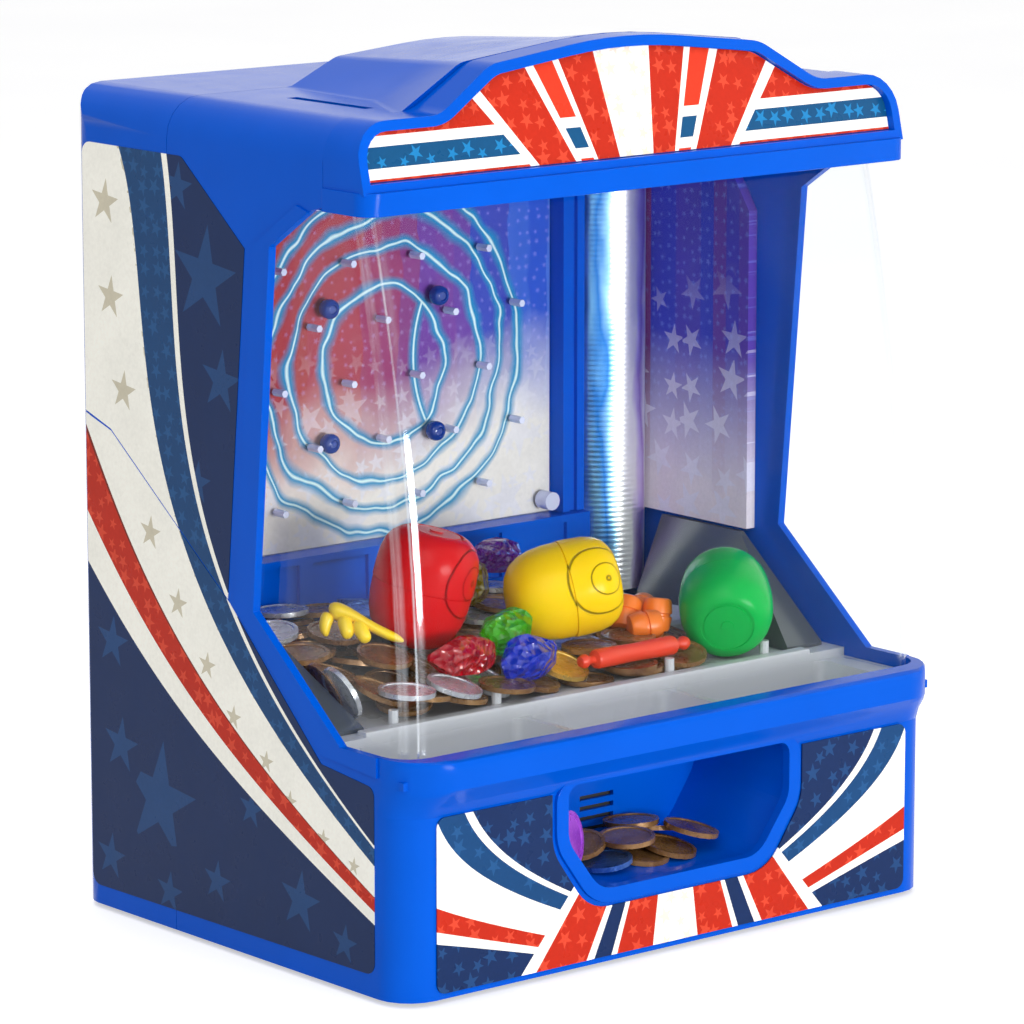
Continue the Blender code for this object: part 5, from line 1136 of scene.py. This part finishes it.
class COINPUSHER_OT_playfield(bpy.types.Operator):
    """Finish the trays, wings, pusher, peg plate and the clear cover"""

    bl_idname = "coinpusher.playfield"
    bl_label = "Playfield"

    def execute(self, context):
        tone = hex_of(context.scene.coinpusher_casing.silver)
        # ABS with aluminium flake, injection moulded: a satin grey that brightens towards the light
        satin = {"grain": 0.6, "grain_depth": 0.004, "shade": 0.03, "Specular_IOR_Level": 0.3}
        silver = moulded("abs_silver_flake_moulded", tone, 0.3, **satin)
        # ABS with graphite flake, injection moulded: a darker grey whose gloss picks up its neighbours
        wing = moulded("abs_graphite_gloss_moulded", "#5F6468", 0.2, grain=0.8, Metallic=0.35)
        # polystyrene, injection moulded: seen only by its pale edges
        clear = clear_styrene("polystyrene_clear_moulded")
        # polystyrene, moulded and polished: clear face on, with painted highlights as bright upright lines
        # at the round corners
        cover = clear_styrene("polystyrene_clear_polished", PAINTED_GLINTS)
        smooth_copy("play_tray", "play_tray_finished", silver, "cabinet")
        for node in ("left_wing", "right_wing"):
            smooth_copy(node, f"{node}_finished", wing, "cabinet")
        smooth_copy("pusher", "pusher_finished", silver, "pusher")
        smooth_copy("clear_cover", "clear_cover_polished", cover, "cabinet")
        smooth_copy("coin_chute", "coin_chute_clear", clear, "cabinet")
        plate = smooth_copy("pin_plate", "pin_plate_clear", clear, "cabinet")
        # polystyrene pegs, seen end on: the clear peg ends given a pale opaque colour as a painted
        # highlight, with a hard bright spot
        peg_painted_highlight = moulded("polystyrene_milky_moulded", "#D8DCF4", 0.06, Specular_IOR_Level=0.9)
        plate.data.materials.append(peg_painted_highlight)
        face_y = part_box("pin_plate")[1].y - PLATE_THICKNESS
        for face in plate.data.polygons:
            face.material_index = int(face.center.y < face_y - 0.2 * MM)
        # ABS, injection moulded: a deep navy gloss that stands out from the card
        navy = moulded("abs_navy_gloss_moulded", "#0C3890", 0.15, shade=0.1)
        for number, (x, height) in enumerate(BOSSES):
            boss = lathe(f"board_boss_{number + 1}", BOSS_PROFILE, 20)
            placed(boss, aimed(at(x, BOSS_DEPTH, height), Vector((0, -1, 0))))
            dress(boss, navy, "cabinet")
        return {"FINISHED"}


# Each finish: its key, its metal or colour, face, rim, metallic share, roughness, slot and share of the heap
TOKEN_FINISHES = (
    ("bronze", "bronze", "#5E3A1C", "#A47C4C", 0.3, 0.26, "bronze_token", 0.78),
    ("silver", "silver", "#A8AAAE", "#E2E4E8", 0.6, 0.28, "silver_abs", 0.17),
    ("blue", "blue", "#1F4FA0", "#5C86C8", 0.5, 0.3, "blue_abs", 0.03),
    ("violet", "violet", "#8A2CB8", "#C060E0", 0.3, 0.3, "bronze_token", 0.0),
    ("yellow", "gold", "#B8862E", "#E0BC60", 0.6, 0.3, "yellow_plastic", 0.03),
)
HEAP_MARGIN = 10.0  # mm that the playfield heap may run out past its plain shape
HEAP_FRONT = (104.5, -0.022)  # the height in mm of the heap's front at the middle, and its slope across
FEWEST_TOKENS = 60  # a playfield heap of fewer has gone wrong
TRAY_TOKENS = 10  # the prize tray holds at most this many

# Tokens that stand on edge: finish, name, middle in mm and the way they face
STANDING_TOKENS = (
    ("silver", "leaning_token_1", (-115.0, 69, 107.6), (0.9, -0.12, 0.43)),
    ("bronze", "leaning_token_2", (-113.2, 82, 106.8), (0.9, -0.12, 0.43)),
    ("violet", "leaning_token_3", (-46.5, 11.8, 48.5), (0.45, -0.88, 0.15)),
)


class COINPUSHER_OT_tokens(bpy.types.Operator):
    """Heap the tokens on the playfield and in the prize tray"""

    bl_idname = "coinpusher.tokens"
    bl_label = "Tokens"

    def execute(self, context):
        settings = context.scene.coinpusher_tokens
        radius, thickness = settings.radius / MM, settings.thickness / MM
        random = np.random.default_rng(settings.seed)
        # plastic, metallised: a thin metal skin that gleams at the rims and goes dull where it is scratched
        finishes = {
            key: (struck_token(f"token_{metal}_metallised", face, rim, shine, roughness), slot, share)
            for key, metal, face, rim, shine, roughness, slot, share in TOKEN_FINISHES
        }
        floors = ("play_tray", "pusher", "left_wing", "right_wing")
        obstacles = (
            "red_capsule", "yellow_capsule", "green_capsule", "amber_crystal", "green_crystal",
            "red_crystal", "blue_crystal", "orange_stick", "yellow_toy", "pinboard_sill",
        )
        stood = []
        for finish, name, middle, normal in STANDING_TOKENS:
            place = (at(*middle), Vector(normal).normalized())
            alone = {finish: (*finishes[finish][:2], 1.0)}
            stood += token_pieces([place], alone, random, name, radius, thickness)
        violet = stood.pop()
        floors += tuple(piece.name for piece in stood)
        places = heap_tokens(
            "playfield_tokens", floors, obstacles, radius, thickness, settings.most, random, HEAP_MARGIN,
            HEAP_FRONT,
        )
        made = token_pieces(places, finishes, random, "playfield_tokens", radius, thickness)
        if len(places) < FEWEST_TOKENS:
            raise RuntimeError(f"only {len(places)} tokens found a place on the playfield")
        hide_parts("playfield_tokens")
        floors = ("prize_tray", violet.name)
        places = heap_tokens("prize_tray_tokens", floors, (), radius, thickness, TRAY_TOKENS, random)
        made = token_pieces(places, finishes, random, "prize_tokens", radius, thickness)
        if not made:
            raise RuntimeError("no token found a place in the prize tray")
        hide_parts("prize_tray_tokens")
        return {"FINISHED"}


class COINPUSHER_OT_capsules(bpy.types.Operator):
    """Turn the three prize capsules and lay them on the heap"""

    bl_idname = "coinpusher.capsules"
    bl_label = "Capsules"

    def execute(self, context):
        for name, colour, flip in (
            ("red", "#D01216", 1), ("yellow", "#FFD000", 1), ("green", "#00B048", -1),
        ):
            self.make(name, colour, flip)
        return {"FINISHED"}

    @staticmethod
    def mark_lid(material, middle, way):
        """Two moulded rings round the middle of the capsule's pressed lid, darkened as painted shade in
        their grooves.
        """
        tree = material.node_tree
        shader = tree.nodes[SHADER]
        source = add_node(tree, "TexCoord", out="Object")
        away = add_node(tree, "VectorMath", (source, middle[:]), operation="SUBTRACT")
        along = add_node(tree, "VectorMath", (away, way[:]), out="Value", operation="DOT_PRODUCT")
        crossed = add_node(tree, "VectorMath", (away, way[:]), operation="CROSS_PRODUCT")
        off = add_node(tree, "VectorMath", (crossed,), out="Value", operation="LENGTH")
        front = add_node(tree, "Math", (along, 0.0), operation="GREATER_THAN")
        line = 0.0
        for radius, width in ((13.5 * MM, 0.45 * MM), (6.5 * MM, 0.3 * MM), (0.9 * MM, 0.5 * MM)):
            ring = add_node(tree, "MapRange", (away_from(tree, off, radius), width * 0.4, width, 1, 0))
            line = add_node(tree, "Math", (line, ring), operation="MAXIMUM")
        line = add_node(tree, "Math", (line, front), operation="MULTIPLY")
        colour = shader.inputs["Base Color"].links[0].from_socket
        # painted shade: the ring lines are darkened towards black for the shade inside the grooves
        dark = add_node(tree, "Mix", {0: 0.65, 6: colour, 7: linear("#000000")}, **MIX_COLOURS)
        shaded_grooves = add_node(tree, "Mix", {0: line, 6: colour, 7: dark}, **MIX_COLOURS)
        tree.links.new(shaded_grooves, shader.inputs["Base Color"])
        values = {"Height": add_node(tree, "Math", (1.0, line), operation="SUBTRACT"), "Distance": 0.5 * MM}
        values["Normal"] = shader.inputs["Normal"].links[0].from_socket
        tree.links.new(add_node(tree, "Bump", values), shader.inputs["Normal"])

    def make(self, name, colour, flip):
        node = f"{name}_capsule"
        middle, direction = long_axis(node)
        if direction.x * flip < 0:
            direction = -direction
        points = np.array([vertex.co[:] for vertex in frame["nodes"][node].data.vertices])
        along = (points - np.array(middle)) @ np.array(direction)
        away = points - np.array(middle) - np.outer(along, np.array(direction))
        half, radius = np.abs(along).max() / MM, np.linalg.norm(away, axis=1).max() / MM
        profile = [
            (radius * share, half * height)
            for share, height in (
                (0.06, -1.0), (0.30, -0.985), (0.52, -0.93), (0.70, -0.83), (0.84, -0.66), (0.93, -0.45),
                (0.975, -0.2), (0.985, 0.035), (0.965, 0.045), (0.965, 0.06), (1.0, 0.07), (1.0, 0.25),
                (0.985, 0.5), (0.93, 0.7), (0.83, 0.84), (0.70, 0.93), (0.60, 0.97), (0.56, 0.975),
                (0.555, 0.95), (0.50, 0.95), (0.49, 0.975), (0.14, 0.98), (0.13, 1.0), (0.02, 1.0),
            )
        ]
        capsule = lathe(f"{node}_turned", profile, 40)
        # polypropylene, blow moulded: a soft gloss with a slight orange-peel skin
        skin = {"grain": 2.2, "grain_depth": 0.04, "shade": 0.06, "Specular_IOR_Level": 0.12}
        material = moulded(f"polypropylene_{name}_moulded", colour, 0.22, **skin)
        if name in LID_MARKS:
            self.mark_lid(material, middle, Vector(LID_MARKS[name]).normalized())
        placed(capsule, aimed(middle, direction))
        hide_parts(node)
        dress(capsule, material, "cabinet")


class COINPUSHER_OT_trinkets(bpy.types.Operator):
    """Finish the gems, the stick, the barrels and the small yellow figure"""

    bl_idname = "coinpusher.trinkets"
    bl_label = "Trinkets"

    def execute(self, context):
        gems = {"amber": "#DCC40C", "green": "#5CF000", "red": "#F00424", "blue": "#0040FF"}
        random = np.random.default_rng(GEM_SEED)
        for name, colour in gems.items():
            node = f"{name}_crystal"
            low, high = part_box(node)
            half = Vector(size / 2 * swell for size, swell in zip(high - low, GEM_SWELL[name]))
            gem = nugget(f"{node}_cast", (low + high) / 2 + Vector((0, 0, 0.1)) * half.z, half, random)
            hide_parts(node)
            # acrylic, cast: deep clear colour, lit from inside, with bright edges between its facets
            dress(gem, cast_crystal(f"acrylic_{name}_cast", colour), "cabinet")
        # acrylic, cast: the darkest gems, violet in their depth
        violet = cast_crystal("acrylic_violet_cast", "#9A2ABE")
        for number, (x, depth, height) in enumerate(((27, 146, 132), (62, 125, 121))):
            size = Vector((12, 7, 7)) * MM
            gem = nugget(f"violet_crystal_{number + 1}", at(x, depth, height), size, random)
            dress(gem, violet, "cabinet")
        # polypropylene, injection moulded: bright opaque colours with a soft waxy skin
        orange = moulded("polypropylene_orange_moulded", "#F27A18", 0.34, grain=1.5, grain_depth=0.03)
        stick_red = moulded("polypropylene_scarlet_moulded", "#E23A14", 0.34, grain=1.5, grain_depth=0.03)
        yellow = moulded("polypropylene_gold_moulded", "#F8D200", 0.34, grain=1.5, grain_depth=0.03)
        middle, direction = long_axis("orange_stick")
        stick = placed(lathe("scarlet_stick", STICK_PROFILE, 20), aimed(middle, direction))
        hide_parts("orange_stick")
        dress(stick, stick_red, "cabinet")
        for number, (spot, way) in enumerate(BARRELS):
            barrel = lathe(f"orange_barrel_{number + 1}", BARREL_PROFILE, 20)
            placed(barrel, aimed(at(*spot), Vector(way)))
            dress(barrel, orange, "cabinet")
        figure = yellow_figure()
        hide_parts("yellow_toy")
        dress(figure, yellow, "cabinet")
        return {"FINISHED"}


class COINPUSHER_OT_works(bpy.types.Operator):
    """Finish the drive, the sound, the power and the screws"""

    bl_idname = "coinpusher.works"
    bl_label = "Works"

    def execute(self, context):
        # nylon, injection moulded: milky white with a waxy low gloss
        nylon = moulded("nylon_natural_moulded", "#E6E3D8", 0.42, grain=1.0, grain_depth=0.02)
        # ABS, injection moulded in a matt mould: dark grey that keeps the works in shadow
        black = moulded("abs_black_matt_moulded", "#202124", 0.55, grain=0.8, grain_depth=0.03)
        # zinc-plated steel, pressed, and shrink-wrapped cells: the only bright metal among the dark plastic
        steel = plated_steel()
        cell = cell_wrap()
        gears = (("crank_wheel", "crank"), ("idler_gear", "idler"), ("motor_pinion", "pinion"))
        for node, body in gears:
            smooth_copy(node, f"{node}_finished", nylon, body)
        metal = ("crank_axle", "idler_axle", "motor", "base_screw_1", "base_screw_2", "rear_door_pin")
        for node in metal:
            smooth_copy(node, f"{node}_finished", steel, "cabinet")
        for node in ("drive_chassis", "battery_box", "battery_door", "speaker"):
            smooth_copy(node, f"{node}_finished", black, "cabinet")
        for number in (1, 2, 3):
            smooth_copy(f"cell_{number}", f"cell_{number}_wrapped", cell, "cabinet")
        smooth_copy("circuit_board", "circuit_board_finished", circuit_board(), "cabinet")
        return {"FINISHED"}


LOOKED_AT = (10.21, 115.0, 157.21)  # the place in mm that the camera is turned to
FLOOR_GAP = 0.2 * MM  # the floor lies this far under the feet


class COINPUSHER_OT_stage(bpy.types.Operator):
    """Set the floor, the soft lamps, the pale world and the camera"""

    bl_idname = "coinpusher.stage"
    bl_label = "Stage"

    def execute(self, context):
        settings = context.scene.coinpusher_stage
        deselect()
        bpy.ops.mesh.primitive_plane_add(size=12, location=(0, 0, CAD_BOX[0][2] - FLOOR_GAP))
        floor = context.object
        floor.name = "floor"
        # paper, matt coated: one soft white with no gloss, lifted to plain white where it is seen directly
        material, tree, place = blank("paper_white_matt", Roughness=0.9)
        values = {0: patches(tree, place, 300, 2, 0, 1), 6: linear("#E4E4E6"), 7: linear("#EAEAEA")}
        shader = tree.nodes[SHADER]
        tree.links.new(add_node(tree, "Mix", values, **MIX_COLOURS), shader.inputs["Base Color"])
        strength = add_node(tree, "Math", (self.seen_direct(tree), 0.5), operation="MULTIPLY")
        lift = add_node(tree, "Emission", {"Color": (1, 1, 1, 1), "Strength": strength})
        both = add_node(tree, "AddShader", (shader.outputs[0], lift))
        tree.links.new(both, tree.nodes["Material Output"].inputs["Surface"])
        floor.data.materials.append(material)
        self.light_world(context)
        top = at(0, 100, 180)
        self.lamp("key_lamp", top + Vector((-1.0, -1.1, 0.9)), top, (0.9, 1.3), settings.lamp)
        self.lamp("fill_lamp", top + Vector((1.3, -0.9, 0.35)), top, (0.7, 1.2), settings.lamp * 0.35)
        self.lamp("front_lamp", top + Vector((0.05, -1.95, 0.02)), top, (0.7, 0.4), settings.lamp * 2.35)
        self.lamp("top_lamp", top + Vector((0.05, 0.3, 1.4)), top, (1.4, 1.2), settings.lamp * 0.8)
        self.camera(context, settings)
        context.scene.view_settings.view_transform = "Standard"
        return {"FINISHED"}

    @staticmethod
    def seen_direct(tree):
        """1 on rays that show a white ground: from the camera, off gloss and through glass."""
        path = add_node(tree, "LightPath", out=None)
        rays = (path.outputs["Is Camera Ray"], path.outputs["Is Glossy Ray"])
        direct = add_node(tree, "Math", rays, operation="MAXIMUM")
        return add_node(tree, "Math", (direct, path.outputs["Is Transmission Ray"]), operation="MAXIMUM")

    def light_world(self, context):
        world = bpy.data.worlds.new("pale_room")
        world.use_nodes = True
        tree = world.node_tree
        seen = self.seen_direct(tree)
        strength = add_node(tree, "MapRange", (seen, 0, 1, 0.55, 1.0))
        background = tree.nodes["Background"]
        background.inputs["Color"].default_value = (1, 1, 1, 1)
        tree.links.new(strength, background.inputs["Strength"])
        context.scene.world = world

    @staticmethod
    def lamp(name, place, target, size, power):
        deselect()
        bpy.ops.object.light_add(type="AREA", location=place)
        lamp = bpy.context.object
        lamp.name = name
        lamp.data.shape = "RECTANGLE"
        lamp.data.size, lamp.data.size_y = size
        lamp.data.energy = power
        lamp.rotation_euler = (target - place).to_track_quat("-Z", "Y").to_euler()

    @staticmethod
    def camera(context, settings):
        a, e = settings.azimuth, settings.elevation
        back = Vector((sin(a) * cos(e), -cos(a) * cos(e), sin(e)))
        target = at(*LOOKED_AT)
        deselect()
        bpy.ops.object.camera_add(location=target + back * settings.distance)
        camera = context.object
        camera.name = "camera"
        camera.data.lens = settings.lens
        camera.data.sensor_width = 36.0
        camera.rotation_euler = back.to_track_quat("Z", "Y").to_euler()
        context.scene.camera = camera


class COINPUSHER_PT_panel(bpy.types.Panel):
    bl_idname = "COINPUSHER_PT_panel"
    bl_label = "Coin pusher"
    bl_space_type = "VIEW_3D"
    bl_region_type = "UI"
    bl_category = "Coin pusher"

    def draw(self, context):
        for group in ("coinpusher_casing", "coinpusher_tokens", "coinpusher_stage"):
            settings = getattr(context.scene, group)
            for key in settings.__annotations__:
                self.layout.prop(settings, key)
        for operator in OPERATORS:
            self.layout.operator(operator.bl_idname)


SETTINGS = {
    "coinpusher_casing": CasingSettings,
    "coinpusher_tokens": TokenSettings,
    "coinpusher_stage": StageSettings,
}
OPERATORS = (
    COINPUSHER_OT_casing,
    COINPUSHER_OT_films,
    COINPUSHER_OT_playfield,
    COINPUSHER_OT_tokens,
    COINPUSHER_OT_capsules,
    COINPUSHER_OT_trinkets,
    COINPUSHER_OT_works,
    COINPUSHER_OT_stage,
)


def register():
    for kind in (*SETTINGS.values(), *OPERATORS, COINPUSHER_PT_panel):
        bpy.utils.register_class(kind)
    for name, kind in SETTINGS.items():
        setattr(bpy.types.Scene, name, bpy.props.PointerProperty(type=kind))


def unregister():
    for name in SETTINGS:
        delattr(bpy.types.Scene, name)
    for kind in reversed((*SETTINGS.values(), *OPERATORS, COINPUSHER_PT_panel)):
        bpy.utils.unregister_class(kind)


def plain(box):
    return [[float(number) for number in corner] for corner in box]


def main():
    register()
    for step in ("casing", "films", "playfield", "tokens", "capsules", "trinkets", "works", "stage"):
        getattr(bpy.ops.coinpusher, step)()
    deselect()


if __name__ == "__main__":
    main()
